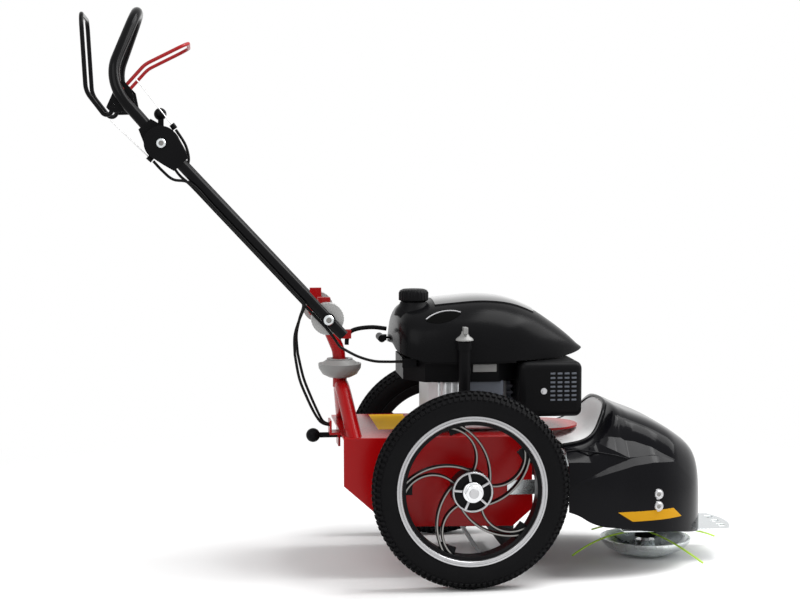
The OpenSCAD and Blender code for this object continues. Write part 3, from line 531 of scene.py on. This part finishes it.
# Chassis. Folded 4 mm steel sheet, powder coated bright red: two side plates, a deck that carries the
# engine, and a rounded tongue that reaches forward over the hood.
red = finish("red_coat", (0.3, 0.001, 0.002), 0.24, mottle=0.1, patch=10, spread=0.1, grain=700, depth=0.1,
             Specular_IOR_Level=0.2)
for node in ["right_side_plate", "left_side_plate", "top_deck"]:
    eased(node, red, 1.1)
grey_steel = finish("bare_steel", (0.36, 0.37, 0.38), 0.5, mottle=0.3, patch=18, spread=0.2, depth=0.15,
                    Metallic=0.7)
flap_rubber = finish("flap_rubber", (0.018, 0.018, 0.019), 0.66, mottle=0.4, patch=30, grain=1200,
                     depth=0.3)
eased("deflector", grey_steel, 0.8)
eased("rubber_flap", flap_rubber, 0.8)

# Fork, bowl and yoke. Red tube fork on the deck, with a grey swivel bowl and its lid on the fork's head,
# and the bent red yoke that carries the handle. A curved black cam lever locks the swivel, and a black
# rod with a ball knob slides at the back of the chassis.
plastic = finish("black_plastic", (0.0045, 0.0045, 0.005), 0.38, mottle=0.4, patch=20, spread=0.15,
                 grain=1300, depth=0.18, Specular_IOR_Level=0.05)
bowl_grey = finish("bowl_grey", (0.22, 0.22, 0.215), 0.42, mottle=0.12, patch=20, depth=0.16)
for node in ["handle_fork", "yoke"]:
    eased(node, red, 0.8)
eased("swivel_bowl", bowl_grey, 0.8)


def moved(shape, at):
    """Shifts a shape by a vector."""
    bmesh.ops.translate(shape, vec=at, verts=shape.verts)
    return shape


def bar(points, radius):
    """A new bmesh: a round bar along points, as the mesh of a bevelled curve."""
    holder = line_object("bar", points, radius)
    holder.data.bevel_resolution = 5
    mesh = bpy.data.meshes.new_from_object(holder.evaluated_get(bpy.context.evaluated_depsgraph_get()))
    mesh.transform(Matrix.Scale(1 / MM, 4))
    shape = bmesh.new()
    shape.from_mesh(mesh)
    bpy.data.objects.remove(holder)
    bpy.data.meshes.remove(mesh)
    return shape


def along_y(x, z):
    """Places a shape that was made about +Z so that it lies about an axis along Y."""
    return Matrix(((1, 0, 0, x), (0, 0, 1, 0), (0, -1, 0, z), (0, 0, 0, 1)))


bowl_low, bowl_high = (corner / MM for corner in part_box("swivel_bowl"))
bowl_middle = ((bowl_low.x + bowl_high.x) / 2, (bowl_low.y + bowl_high.y) / 2, 0)
reach, brim = (bowl_high.x - bowl_low.x) / 2, bowl_high.z
lid_profile = [(reach - 5, brim - 1), (reach - 10, brim + 3), (reach * 0.6, brim + 7), (24, brim + 9),
               (16, brim + 9), (16, brim + 6), (reach * 0.6, brim + 4), (reach - 7, brim - 2)]
show("bowl_lid", moved(spun(lid_profile, 64), bowl_middle), [bowl_grey], like="swivel_bowl",
     body=body_of["yoke"])
eased("selector_rod", plastic, 0.4)
lever_route = [(-126, 0, 408), (-125, 0, 420), (-119, 0, 432), (-103, 0, 438), (-77, 0, 440), (-52, 0, 437)]
shape = bar(smooth_route(lever_route, 8), 4)
cam = bmesh.ops.create_cone(shape, cap_ends=True, segments=32, radius1=7, radius2=7, depth=8)["verts"]
bmesh.ops.transform(shape, matrix=along_y(-127, 428), verts=cam)
show("clamp_handle", shape, [plastic], "clamp_lever", bevel=0.6)

# Tilt discs. Two toothed alloy discs on each side of the yoke lock into each other, so that the handle
# keeps its height. A plated bolt and washer draw them together.
DISC_TEETH = 36
TOOTH_ROOT = 0.985
disc_grey = finish("disc_grey", (0.34, 0.34, 0.335), 0.4, mottle=0.15, patch=30, depth=0.2, Metallic=0.5)
zinc = finish("zinc_plate", (0.66, 0.69, 0.7), 0.26, mottle=0.16, patch=22, spread=0.2, grain=1500,
              depth=0.08, Metallic=1.0)
disc_faces = {"tilt_discs_inner": (118, 128), "tilt_discs_outer": (128.3, 138)}


def toothed_disc(shape, radius, low, high):
    """Adds a disc between two heights, with two of every four rim points drawn in as tooth gaps."""
    made = bmesh.ops.create_cone(shape, cap_ends=True, segments=4 * DISC_TEETH, radius1=radius,
                                 radius2=radius, depth=high - low)["verts"]
    for vert in made:
        step = round(math.degrees(math.atan2(vert.co.y, vert.co.x)) * 4 * DISC_TEETH / 360)
        if step % 4 < 2:
            vert.co.xy *= TOOTH_ROOT
    bmesh.ops.translate(shape, verts=made, vec=(0, 0, (low + high) / 2))


for node, (near, far) in disc_faces.items():
    low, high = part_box(node)
    shape = bmesh.new()
    for start, end in [(near, far), (-far, -near)]:
        toothed_disc(shape, (high.z - low.z) / 2 / MM, start, end)
    place = along_y((low.x + high.x) / 2 / MM, (low.z + high.z) / 2 / MM)
    bmesh.ops.transform(shape, verts=shape.verts, matrix=place)
    bmesh.ops.recalc_face_normals(shape, faces=shape.faces)
    show(f"{node}_toothed", shape, [disc_grey], node, bevel=0.5)
tilt = Vector((-171, 0, 469))
fold = Vector((-460, 0, 779))
BOLT_HEAD, SOCKET, SOCKET_FLOOR = 9, 4.8, 162.4
WASHER_COAT, SOCKET_SHADE_COAT = 1, 2
tilt_bolt = [(0, 113.4), (5, 113.4), (5, 158), (12, 158), (12, 159.4), (11.4, 160), (BOLT_HEAD, 160),
             (BOLT_HEAD, 164.8), (7.8, 166), (SOCKET, 166), (4.4, SOCKET_FLOOR), (0, SOCKET_FLOOR)]
fold_bolt = [(0, 101), (7, 101), (7, 107.6), (4, 107.6), (4, 160), (8, 160), (8, 165), (7, 166), (4.4, 166),
             (4, 162.6), (0, 162.6)]
bolts = []
for profile, hinge in [(tilt_bolt, tilt), (fold_bolt, fold)]:
    for turn in (0, math.pi):
        bolt = spun(profile, 48, closed=False)
        painted(bolt, WASHER_COAT, lambda face, at: at.xy.length > BOLT_HEAD + 0.1)
        # The socket's inside is painted darker grey: painted shade in the recess.
        painted(bolt, SOCKET_SHADE_COAT,
                lambda face, at: at.z > SOCKET_FLOOR - 1.4 and at.xy.length < SOCKET - 0.1)
        bolt.transform(along_y(hinge.x, hinge.z) @ Matrix.Rotation(turn, 4, "X"))
        bolts.append(bolt)
show("socket_bolts", joined(bolts), [zinc, plastic, grey_for_spokes_and_socket_shade], "handle_bolts")

# Handle. Black gloss steel tube, 20 mm thick: two lower legs, round fold joints in moulded covers, and
# one bent loop above them with the two bails on brackets between its arms.
tube_black = finish("tube_black", (0.004, 0.004, 0.0045), 0.16, mottle=0.4, patch=12, spread=0.08,
                    grain=800, depth=0.05, Specular_IOR_Level=0.08)
TUBE = 10
LOWER_Y = 148
UPPER_Y = 124
GRIP_HALF = 50
INSIDE_JOINT = 12
PAST_TILT = 40
bend = Vector((-553, 0, 886))
grip = Vector((-503, 0, 1013))
lower_way = (tilt - fold).normalized()
upper_way = (bend - fold).normalized()


def rounded(points, bends):
    """The corner points of a bent bar, with an arc of the given radius in place of each inner corner."""
    corners = [Vector(point) for point in points]
    made = [corners[0]]
    for before, corner, after, radius in zip(corners, corners[1:], corners[2:], bends):
        way_in = (corner - before).normalized()
        way_out = (after - corner).normalized()
        turn = way_in.angle(way_out)
        trim = radius * math.tan(turn / 2)
        side = (way_out - way_out.dot(way_in) * way_in).normalized()
        centre = corner - way_in * trim + side * radius
        steps = max(3, math.ceil(math.degrees(turn) / 5))
        for k in range(steps + 1):
            at = turn * k / steps
            made.append(centre - side * radius * math.cos(at) + way_in * radius * math.sin(at))
    return made + [corners[-1]]


def mirrored_y(points):
    """A path from the right side to the middle, carried on to the left side."""
    return list(points) + [(x, -y, z) for x, y, z in reversed(points)]


legs = []
for y in [-LOWER_Y, LOWER_Y]:
    across = Vector((0, y, 0))
    legs.append(bar([fold + lower_way * INSIDE_JOINT + across, tilt + lower_way * PAST_TILT + across], TUBE))
show("lower_legs", joined(legs), [tube_black], "lower_tubes", bevel=1.2)
arm = fold + upper_way * INSIDE_JOINT
loop = mirrored_y([(arm.x, -UPPER_Y, arm.z), (bend.x, -UPPER_Y, bend.z), (grip.x, -GRIP_HALF, grip.z)])
show("grip_loop", bar(rounded(loop, [80, 55, 55, 80]), TUBE), [tube_black], "upper_handle")
for node, bevel in [("joint_halves_lower", 1.8), ("joint_halves_upper", 1.8), ("bail_brackets", 0.6),
                    ("throttle_lever", 0.6)]:
    eased(node, plastic, bevel)

# Bails. Bent wire: the black one behind the grip engages the cutter, the red one ahead of it the drive.
# Each turns in the two bracket plates and pulls its cable when it is squeezed to the grip.
BAIL_Y = 96
BAIL_END = UPPER_Y - TUBE - 4.7
bail_red = finish("bail_red", (0.3, 0.006, 0.008), 0.32, mottle=0.15, patch=16, Specular_IOR_Level=0.2)
cutter_side = [(-543, 844), (-553, 820), (-591, 870), (-598, 1006)]
drive_side = [(-527, 874), (-488, 917), (-412, 955)]
for node, side, bends, radius, material in [
        ("cutter_bail", cutter_side, [6, 9, 40, 25, 25, 40, 9, 6], 4, tube_black),
        ("drive_bail", drive_side, [6, 50, 25, 25, 50, 6], 3.2, bail_red)]:
    path = [(side[0][0], -BAIL_END, side[0][1])] + [(x, -BAIL_Y, z) for x, z in side]
    show(f"{node}_wire", bar(rounded(mirrored_y(path), bends), radius), [material], node)

# Engine block. A vertical-shaft petrol engine: alloy crankcase on the deck, dark finned cylinder, black
# plastic shroud, grey dipstick in its black filler tube, and the louvred black guard round the muffler.
cylinder_grey = finish("cylinder_grey", (0.075, 0.085, 0.105), 0.5, mottle=0.3, patch=30, grain=1000,
                       depth=0.3)
for node, material, bevel in [
        ("crankcase", cast, 2.0), ("engine_cylinder", cylinder_grey, 0.6), ("engine_shroud", plastic, 1.0),
        ("fuel_tank", plastic, 1.0), ("filler_tube", plastic, 0.6), ("muffler", steel, 2.0),
        ("crankshaft", steel, 0.6), ("starter_grip", plastic, 1.0)]:
    eased(node, material, bevel)


def boxes(corners):
    """A new bmesh with a box between each pair of low and high corners."""
    shape = bmesh.new()
    for low, high in corners:
        made = bmesh.ops.create_cube(shape, size=1)["verts"]
        bmesh.ops.scale(shape, vec=[b - a for a, b in zip(low, high)], verts=made)
        bmesh.ops.translate(shape, vec=[(a + b) / 2 for a, b in zip(low, high)], verts=made)
    return shape


FUEL_FILLER = (-6, -40, 0)
CAP_SIDE = 26
CAP_RIBS = 24
CAP_RIB_SHARE = 0.02
cap_profile = [(0, 491), (23, 491), (27, 494), (27, 507), (25, 511), (20, 513.5), (0, 514)]
collar_profile = [(20.6, 466), (36, 466), (33, 476), (27, 484), (24.5, 490), (20.6, 490)]
shape = spun(cap_profile, 144, closed=False)
for vert in shape.verts:
    if vert.co.xy.length > CAP_SIDE:
        vert.co.xy *= 1 + CAP_RIB_SHARE * math.cos(CAP_RIBS * math.atan2(vert.co.y, vert.co.x))
show("tank_cap", moved(shape, FUEL_FILLER), [plastic], "fuel_cap")
show("tank_collar", moved(spun(collar_profile, 60), FUEL_FILLER), [plastic], like="fuel_tank")

stick_x, stick_y, _ = (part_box("dipstick")[0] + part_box("dipstick")[1]) / 2 / MM
OIL_FILLER = (stick_x, stick_y, 0)
neck_profile = [(7.2, 412), (12, 412), (12.8, 416), (12.8, 427), (11.6, 428.3), (7.2, 428.3)]
stick_profile = [(0, 350), (2.5, 350), (2.5, 428.8), (15.6, 428.8), (16.2, 430.4), (14.6, 433), (9, 437),
                 (6.2, 441.5), (5, 446), (0, 447)]
stick_handle = boxes([((-3, -11, 441), (5, 8, 453))])
show("filler_neck", moved(spun(neck_profile, 40), OIL_FILLER), [plastic], like="filler_tube")
shape = joined([spun(stick_profile, 40, closed=False), stick_handle])
show("oil_stick", moved(shape, OIL_FILLER), [bowl_grey], "dipstick", bevel=1.6)

GUARD_Y = -122
guard_slots = [((x, GUARD_Y - 0.6, z), (x + 9, GUARD_Y + 1, z + 3.5))
               for x in range(234, 274, 13) for z in range(314, 363, 8)]
bolt_profile = [(0, 0), (6, 0), (5.6, 1.4), (3.6, 1.6), (3.2, 4), (0, 4.4)]
case_ribs = [((x, -109, 264), (x + 5, -104, 350)) for x in range(30, 67, 12)]
show("silencer_guard", boxes([((176, GUARD_Y, 284), (294, 30, 385))]), [plastic], "muffler_guard",
     bevel=13, rounds=5)
show("guard_slots", boxes(guard_slots), [cylinder_grey], like="muffler_guard", bevel=0.6)
shape = spun(bolt_profile, 32, closed=False)
shape.transform(Matrix.Translation((222, GUARD_Y, 332)) @ Matrix.Rotation(math.radians(90), 4, "X"))
show("guard_bolt", shape, [steel], like="muffler_guard")
show("breather_cover", boxes([((80, -110.5, 292), (150, -104, 352))]), [cylinder_grey],
     like="engine_shroud", bevel=4)
show("crankcase_ribs", boxes(case_ribs), [cast], like="crankcase", bevel=2)
show("blank_plate", boxes([((93, -117.4, 368), (136, -114, 382))]), [bowl_grey], like="engine_shroud",
     bevel=0.8)

# Engine cover. A domed moulding of black gloss plastic over the tank and the starter. It is highest over
# the crankshaft, falls to a beak at the front, and has a finger slot in its right shoulder.
gloss_black = finish("gloss_black", (0.004, 0.004, 0.0045), 0.24, mottle=0.4, patch=9, spread=0.1,
                     depth=0.06, Specular_IOR_Level=0.05)
COVER_SQUARE = 2.6
cover_stations = [(-45, 428, 414, 50), (-42, 437, 406, 75), (-37, 463, 402, 100), (-24, 481, 397, 119),
                  (10, 489, 388, 128), (60, 495, 388, 132), (118, 499, 388, 132), (170, 493, 388, 122),
                  (215, 475, 388, 102), (255, 449, 388, 76), (286, 425, 391, 48), (306, 407, 395, 24),
                  (314, 401, 398, 10)]


def station(stations, x):
    """Height of the top, height of the foot and half width at x, on smooth curves through the stations."""
    last = len(stations) - 2
    i = max([k for k in range(last + 1) if stations[k][0] <= x], default=0)
    a, b = stations[i], stations[i + 1]
    before, after = stations[max(i - 1, 0)], stations[min(i + 2, last + 1)]
    span = b[0] - a[0]
    t = (x - a[0]) / span
    made = []
    for k in (1, 2, 3):
        slope_a = (b[k] - before[k]) / (b[0] - before[0]) * span
        slope_b = (after[k] - a[k]) / (after[0] - a[0]) * span
        made.append((2 * t ** 3 - 3 * t ** 2 + 1) * a[k] + (t ** 3 - 2 * t ** 2 + t) * slope_a
                    + (3 * t ** 2 - 2 * t ** 3) * b[k] + (t ** 3 - t ** 2) * slope_b)
    return made


def arch_point(section, square, turn):
    """A point on a squarish arch: turn 0 is its left foot, 90 its top and 180 its right foot."""
    top, foot, half = section
    c, s = math.cos(math.radians(turn)), math.sin(math.radians(turn))
    y = math.copysign(abs(c) ** (2 / square), c) * half
    return y, foot + (top - foot) * max(s, 0) ** (2 / square)


def cover_point(x, turn, lift=0):
    """A point on the cover's dome, lifted off it by a few millimetres if wanted."""
    top, foot, half = station(cover_stations, x)
    y, z = arch_point((top + lift, foot, half + lift), COVER_SQUARE, turn)
    return (x, y, z)


def lofted(rings, capped=True):
    """A new bmesh: a skin over a row of open rings of points, closed at both ends if capped."""
    shape = bmesh.new()
    loops = []
    for ring in rings:
        verts = [shape.verts.new(point) for point in ring]
        loops.append((verts, [shape.edges.new(pair) for pair in zip(verts, verts[1:])]))
    for (_, here), (_, there) in zip(loops, loops[1:]):
        bmesh.ops.bridge_loops(shape, edges=here + there)
    if capped:
        for verts, _ in (loops[0], loops[-1]):
            shape.faces.new(verts)
    bmesh.ops.recalc_face_normals(shape, faces=shape.faces)
    return shape


def divided(stations, parts):
    """x values at every station and evenly between them."""
    xs = [row[0] for row in stations]
    made = [a + (b - a) * k / parts for a, b in zip(xs, xs[1:]) for k in range(parts)]
    return made + [xs[-1]]


def walled(holder, thickness):
    """Gives a skin its wall, inwards from the outer face."""
    wall = holder.modifiers.new("wall", "SOLIDIFY")
    wall.thickness = thickness * MM
    wall.offset = -1
    return holder


shape = lofted([[cover_point(x, turn) for turn in range(0, 181, 4)] for x in divided(cover_stations, 4)])
walled(show("engine_top_cover", shape, [gloss_black], "engine_cover"), 3)
# The finger slot is not cut in: a near-black, dull sheet just over the dome is painted shade in the slot.
slot_painted_shade = finish("slot_painted_shade", (0.002, 0.002, 0.002), 0.7, Specular_IOR_Level=0.02)
# A grey bar along the slot's upper edge is a painted highlight, not a part of its own.
slot_painted_highlight = finish("slot_painted_highlight", (0.35, 0.35, 0.36), 0.4, mottle=0.1, Metallic=0.4)
SLOT_X = (8, 74)
SLOT_TURN = 139
SLOT_HALF = 8
SLOT_SLANT = 6


def slot_point(share, edge, lift):
    """A point of the finger slot: share runs along it, edge from -1 to 1 across it."""
    x = SLOT_X[0] + (SLOT_X[1] - SLOT_X[0]) * share
    half = SLOT_HALF * math.sin(math.pi * share) ** 0.7
    return cover_point(x, SLOT_TURN + edge * half - SLOT_SLANT * share, lift)


shares = [0.02 + 0.96 * k / 24 for k in range(25)]
shape = lofted([[slot_point(share, edge / 2, 0.5) for edge in range(-2, 3)] for share in shares],
               capped=False)
walled(show("cover_slot", shape, [slot_painted_shade], like="engine_cover"), 1)
shape = bar([slot_point(share, -1, 0.8) for share in shares], 1.3)
show("cover_slot_edge_highlight", shape, [slot_painted_highlight], like="engine_cover")

# Top panel of the cover, glossier than the rest: a low raised plate with rounded corners that lies along
# the crown, over the air intake. It is clipped into the cover.
PANEL_LIFT = 2.2
panel_black = finish("panel_black", (0.006, 0.006, 0.0065), 0.16, mottle=0.3, patch=9,
                     Specular_IOR_Level=0.5, Coat_Weight=1.0)
panel_xs = [30 + 6 * k for k in range(32)]
shape = lofted([[cover_point(x, turn, PANEL_LIFT) for turn in range(66, 115, 4)] for x in panel_xs],
               capped=False)
walled(show("cover_top_panel", shape, [panel_black], like="engine_cover", bevel=1.0), 3)

# Hood. One moulded black shell over the cutter, 4 mm thick: a domed nose, flanks that step out under a
# sloping shoulder to a wider skirt, and a scooped rear that clears the hot muffler.
hood_black = finish("hood_black", (0.0035, 0.0035, 0.0045), 0.14, mottle=0.4, patch=8, spread=0.06,
                    grain=500, depth=0.04, Specular_IOR_Level=0.08)
HOOD_REAR = 254
STEP_SHARE = 1.05
TOP_SHARE = 0.96
FLANK_ROWS = [7, 2, 3, 4]
CROWN_ROWS = 16
hood_square = [(254, 8), (300, 7), (340, 5.4), (370, 4.8), (450, 4.4), (537, 3.4)]
hood_stations = [(254, 233, 124, 200), (272, 235, 117, 200), (292, 239, 105, 200), (310, 247, 98, 199),
                 (322, 257, 95, 198), (330, 267, 94, 197), (338, 279, 93, 196), (346, 291, 92, 195),
                 (356, 300, 90, 193), (370, 296, 88, 191), (390, 287, 85, 188), (431, 271, 80, 176),
                 (462, 255, 76, 158), (488, 238, 70, 135), (508, 222, 65, 110), (523, 203, 61, 82),
                 (532, 176, 61, 54), (537, 132, 61, 20)]
skirt_top = [(254, 168), (275, 177), (302, 185), (327, 192), (352, 198), (377, 204), (415, 207), (458, 204),
             (537, 128)]
ledge_rise = [(254, 1), (275, 2), (304, 5), (330, 9), (369, 12), (403, 12), (440, 8), (460, 1), (537, 1)]
cheek_top = [(254, 300), (314, 242), (344, 229), (367, 217), (384, 217), (415, 219), (440, 212), (460, 206),
             (537, 130)]
slope_rise = [(254, 1), (314, 2), (333, 18), (359, 27), (384, 24), (409, 14), (435, 6), (460, 1), (537, 1)]
crease = [(254, 231), (284, 230), (314, 227), (342, 222), (364, 215)]


def ramp(knots, x):
    """The value at x on straight stretches between knots."""
    for (x0, v0), (x1, v1) in zip(knots, knots[1:]):
        if x <= x1:
            return v0 + (v1 - v0) * max(0, (x - x0) / (x1 - x0))
    return knots[-1][1]


def stepped_in(x, y, z):
    """Moves a point of the flank inwards by the ledge over the skirt and by the slope over the cheek."""
    half = station(hood_stations, x)[2]
    on_ledge = min(max((z - ramp(skirt_top, x)) / ramp(ledge_rise, x), 0), 1)
    on_slope = min(max((z - ramp(cheek_top, x)) / ramp(slope_rise, x), 0), 1)
    inwards = (ramp(ledge_rise, x) - 1) * on_ledge + (ramp(slope_rise, x) - 1) * on_slope
    return (x, y * (1 - STEP_SHARE * inwards / half), z)


def hood_point(x, turn, lift=0):
    """A point on the hood with its ledge and slope, lifted off it if wanted."""
    top, foot, half = station(hood_stations, x)
    y, z = arch_point((top + lift, foot, half + lift), ramp(hood_square, x), turn)
    return stepped_in(x, y, z)


def turn_at(x, z):
    """The turn at which the hood's arch reaches a height."""
    top, foot, _ = station(hood_stations, x)
    share = min(max((z - foot) / (top - foot), 0), TOP_SHARE)
    return math.degrees(math.asin(share ** (ramp(hood_square, x) / 2)))


def flank_point(x, z, lift):
    """A point on the hood's right flank at a given height."""
    return hood_point(x, 180 - turn_at(x, z), lift)


def hood_ring(x):
    """Points across the hood, with rows on the edges of its skirt, ledge, cheek and slope."""
    ledge, cheek = ramp(skirt_top, x), ramp(cheek_top, x)
    foot = station(hood_stations, x)[1]
    heights = [foot, ledge, ledge + ramp(ledge_rise, x), cheek, cheek + ramp(slope_rise, x)]
    half = []
    for low, high, rows in zip(heights, heights[1:], FLANK_ROWS):
        half += [turn_at(x, low + (max(high, low) - low) * k / rows) for k in range(rows)]
    start = turn_at(x, heights[-1])
    half += [start + (90 - start) * k / CROWN_ROWS for k in range(CROWN_ROWS)]
    for k in range(1, len(half)):
        half[k] = max(half[k], half[k - 1] + 0.01)
    return [hood_point(x, turn) for turn in half + [90] + [180 - turn for turn in reversed(half)]]


shape = lofted([hood_ring(x) for x in divided(hood_stations, 5)])
rear = [face for face in shape.faces if abs(face.calc_center_median().x - HOOD_REAR) < 0.1]
bmesh.ops.delete(shape, geom=rear, context="FACES_ONLY")
hood_shell = walled(show("hood_shell", shape, [hood_black], "hood"), 4)
ring_size = len(hood_ring(HOOD_REAR))
folds = [sum(FLANK_ROWS[:k + 1]) for k in range(len(FLANK_ROWS))]
folds += [ring_size - 1 - row for row in folds]
for edge in hood_shell.data.edges:
    here, there = (number % ring_size for number in edge.vertices)
    edge.use_edge_sharp = edge.use_edge_sharp or (here == there and here in folds)
crease_xs = [HOOD_REAR + 5 * k for k in range(23)]
shape = bar([flank_point(x, ramp(crease, x), 0.4) for x in crease_xs], 1.4)
show("hood_crease", shape, [hood_black], like="hood")

# Heat shield. A light grey pressed sheet on the scooped rear of the hood, facing the muffler. A rolled
# black lip of the hood goes round its arched edge.
shield_grey = finish("shield_grey", (0.66, 0.66, 0.66), 0.55, mottle=0.1, patch=16, grain=800, depth=0.2)
shield_half = [(254, 133), (300, 128), (324, 114), (336, 101), (346, 80), (353, 38)]


def shield_point(x, share, lift):
    """A point of the shield: share -1 is its left edge and 1 its right edge."""
    out = abs(share) * ramp(shield_half, x) / station(hood_stations, x)[2]
    turn = math.degrees(math.acos(out ** (ramp(hood_square, x) / 2)))
    return hood_point(x, turn if share < 0 else 180 - turn, lift)


shield_xs = [256 + 3.2 * k for k in range(31)]
shape = lofted([[shield_point(x, k / 15, 2.2) for k in range(-15, 16)] for x in shield_xs], capped=False)
walled(show("scoop_shield", shape, [shield_grey], "heat_shield"), 1.6)
lip = [Vector(shield_point(x, 1, 1.5)) for x in shield_xs[::3]]
lip += [Vector((x, -y, z)) for x, y, z in reversed(lip)]
show("scoop_lip", bar(smooth_route(lip, 4), 4), [hood_black], like="hood")

# Amber panels. Plain self-adhesive film with nothing printed on it: one slanted strip low on the hood's
# right flank, and one wider plate on the deck behind the engine.
amber = finish("amber_film", (0.5, 0.25, 0.01), 0.4, mottle=0.12, patch=20, depth=0.05,
               Specular_IOR_Level=0.05)
# The deck plate is the same film, given a lighter copy of the amber as painted light against its shade.
amber_painted_lighter = finish("amber_plate_painted_light", (0.85, 0.48, 0.03), 0.5, mottle=0.12, patch=20, depth=0.05,
                    Specular_IOR_Level=0.02)
strip_rows = [(103, 372, 473), (109, 362.7, 466.7), (115, 353.3, 460.3), (121, 344, 454)]
shape = lofted([[flank_point(left + (right - left) * k / 24, z, 0.5) for k in range(25)]
                for z, left, right in strip_rows], capped=False)
walled(show("flank_panel", shape, [amber], like="hood"), 0.3)
show("deck_panel", boxes([((-72, -48, 255.6), (-6, 138, 256.4))]), [amber_painted_lighter], like="top_deck",
     bevel=0.2)

# Cutter. Two plated arms from the chassis, screwed to the hood and joined by a cross plate, carry the
# spindle's housing and the guard plate. The black head and the plated glide saucer hang on the spindle.
SCREW_X = 421
SCREW_HEIGHTS = (128, 150)
SCREW_SOCKET, SCREW_SOCKET_SHADE_COAT = 3.5, 1
CAD_HEADS_Y = 172 * MM
HEADS_INWARDS = 8.2 * MM
screw_profile = [(0, 0), (9.6, 0), (9.6, 1), (7.4, 1.2), (7.4, 3), (6.2, 4.4), (3.6, 5), (3.3, 3.8), (0, 3.8)]
arms = eased("hood_arms", zinc, 0.6)
for point in arms.data.vertices:
    if abs(point.co.y) > CAD_HEADS_Y:
        point.co.y -= math.copysign(HEADS_INWARDS, point.co.y)
for height in SCREW_HEIGHTS:
    _, seat, _ = flank_point(SCREW_X, height, 0)
    for side, turn in [(seat, 90), (-seat, -90)]:
        shape = spun(screw_profile, 40, closed=False)
        # The socket's inside is painted darker grey: painted shade in the recess.
        painted(shape, SCREW_SOCKET_SHADE_COAT, lambda face, at: at.xy.length < SCREW_SOCKET)
        place = Matrix.Translation((SCREW_X, side, height)) @ Matrix.Rotation(math.radians(turn), 4, "X")
        shape.transform(place)
        show(f"hood_screw_{height}_{turn}", shape, [steel, grey_for_spokes_and_socket_shade], like="hood_arms")
for node, material, bevel in [
        ("guard_plate", zinc, 0.5), ("spindle_housing", cast, 1.0), ("spindle", steel, 0.5),
        ("trimmer_head", plastic, 0.5), ("glide_saucer", zinc, 0.5)]:
    eased(node, material, bevel)

# Control cables. Black sheathed cables run from the fold joint down the right leg and hang in an arc to
# the chassis and the engine; bare wires join them to the bails.
cable_black = finish("cable_black", (0.006, 0.006, 0.006), 0.4, patch=60, Specular_IOR_Level=0.08)
wire_bright = finish("wire_bright", (0.6, 0.6, 0.6), 0.3, mottle=0.1, Metallic=1.0)
CABLE = 2.5
WIRE = 1
UNDER_TUBE = TUBE + 3.1
leg_side = Vector((lower_way.z, 0, -lower_way.x))


def under(distance, across):
    """A place under the right leg, by its distance from the fold and its offset across the leg."""
    stand = math.sqrt(UNDER_TUBE ** 2 - across ** 2)
    return fold + lower_way * distance + leg_side * stand + Vector((0, across - LOWER_Y, 0))


def cable(name, route, radius, material, node):
    """A cable along a smooth route, baked in place, that hides the node it stands for."""
    holder = piece(name, bar(smooth_route(route, 6), radius), [material], sharp=math.pi)
    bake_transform(holder)
    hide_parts(node)


upper_routes = {
    "drive": [(-434.8, -130, 802.4), (-419, -124, 777), (-413, -127, 753), (-416, -133, 735),
              under(74, 12.4), under(92, 8), under(160, 5.4), under(359.7, 5.4)],
    "cutter": [(-474.5, -118, 747.7), (-459, -124, 731), (-440, -140, 716),
               under(88, -8), under(160, -8), under(359.7, -8)],
    "throttle": [(-452, -105, 757), (-440, -114, 738), (-428, -130, 722),
                 under(90, -1.3), under(160, -1.3), under(359.7, -1.3)],
}
middle_routes = {
    "drive": [under(360, 5.4), under(376, 5.4) - Vector((2, 0, 2)), (-221, -138, 470), (-226, -128, 440),
              (-223, -112, 405.3)],
    "cutter": [under(360, -8), under(376, -8) - Vector((2, 0, 2)), (-222, -153, 470), (-230, -143, 440),
               (-229, -126, 405.3)],
    "throttle": [under(360, -1.3), under(400, -1.3), under(436, -1.3), (-150.3, -149, 420.3)],
}
lower_routes = {
    "drive": [(-223, -112, 405), (-213, -106, 362), (-200, -95, 328), (-185, -74, 294), (-174, -58, 274),
              (-160.5, -53, 268)],
    "cutter": [(-229, -126, 405), (-221, -120, 362), (-208, -109, 328), (-192, -88, 294), (-178, -72, 274),
               (-160.5, -67, 268)],
    "throttle": [(-150, -149, 420), (-120, -143, 403), (-88, -121, 391), (-58, -97, 386.5), (-46, -93, 386),
                 (-34.2, -93, 386)],
}
for part, routes, first, second, start, end in [
        ("upper", upper_routes, "upper_loop", "lower_handle", 0, 3),
        ("middle", middle_routes, "lower_handle", "column", 1, -1),
        ("lower", lower_routes, "column", "chassis", 0, -1)]:
    for use, route in routes.items():
        cable(f"{use}_cable_{part}", route, CABLE, cable_black, f"cables_{part}")
bail_wires = {
    "drive": [(-504.3, -97, 892.3), (-442.4, -129.8, 812.5)],
    "cutter": [(-548.5, -97, 819), (-484.5, -117.85, 756.5)],
}
for use, (start, end) in bail_wires.items():
    route = [Vector(start).lerp(Vector(end), k / 12) for k in range(13)]
    cable(f"{use}_wire", route, WIRE, wire_bright, "cables_upper")
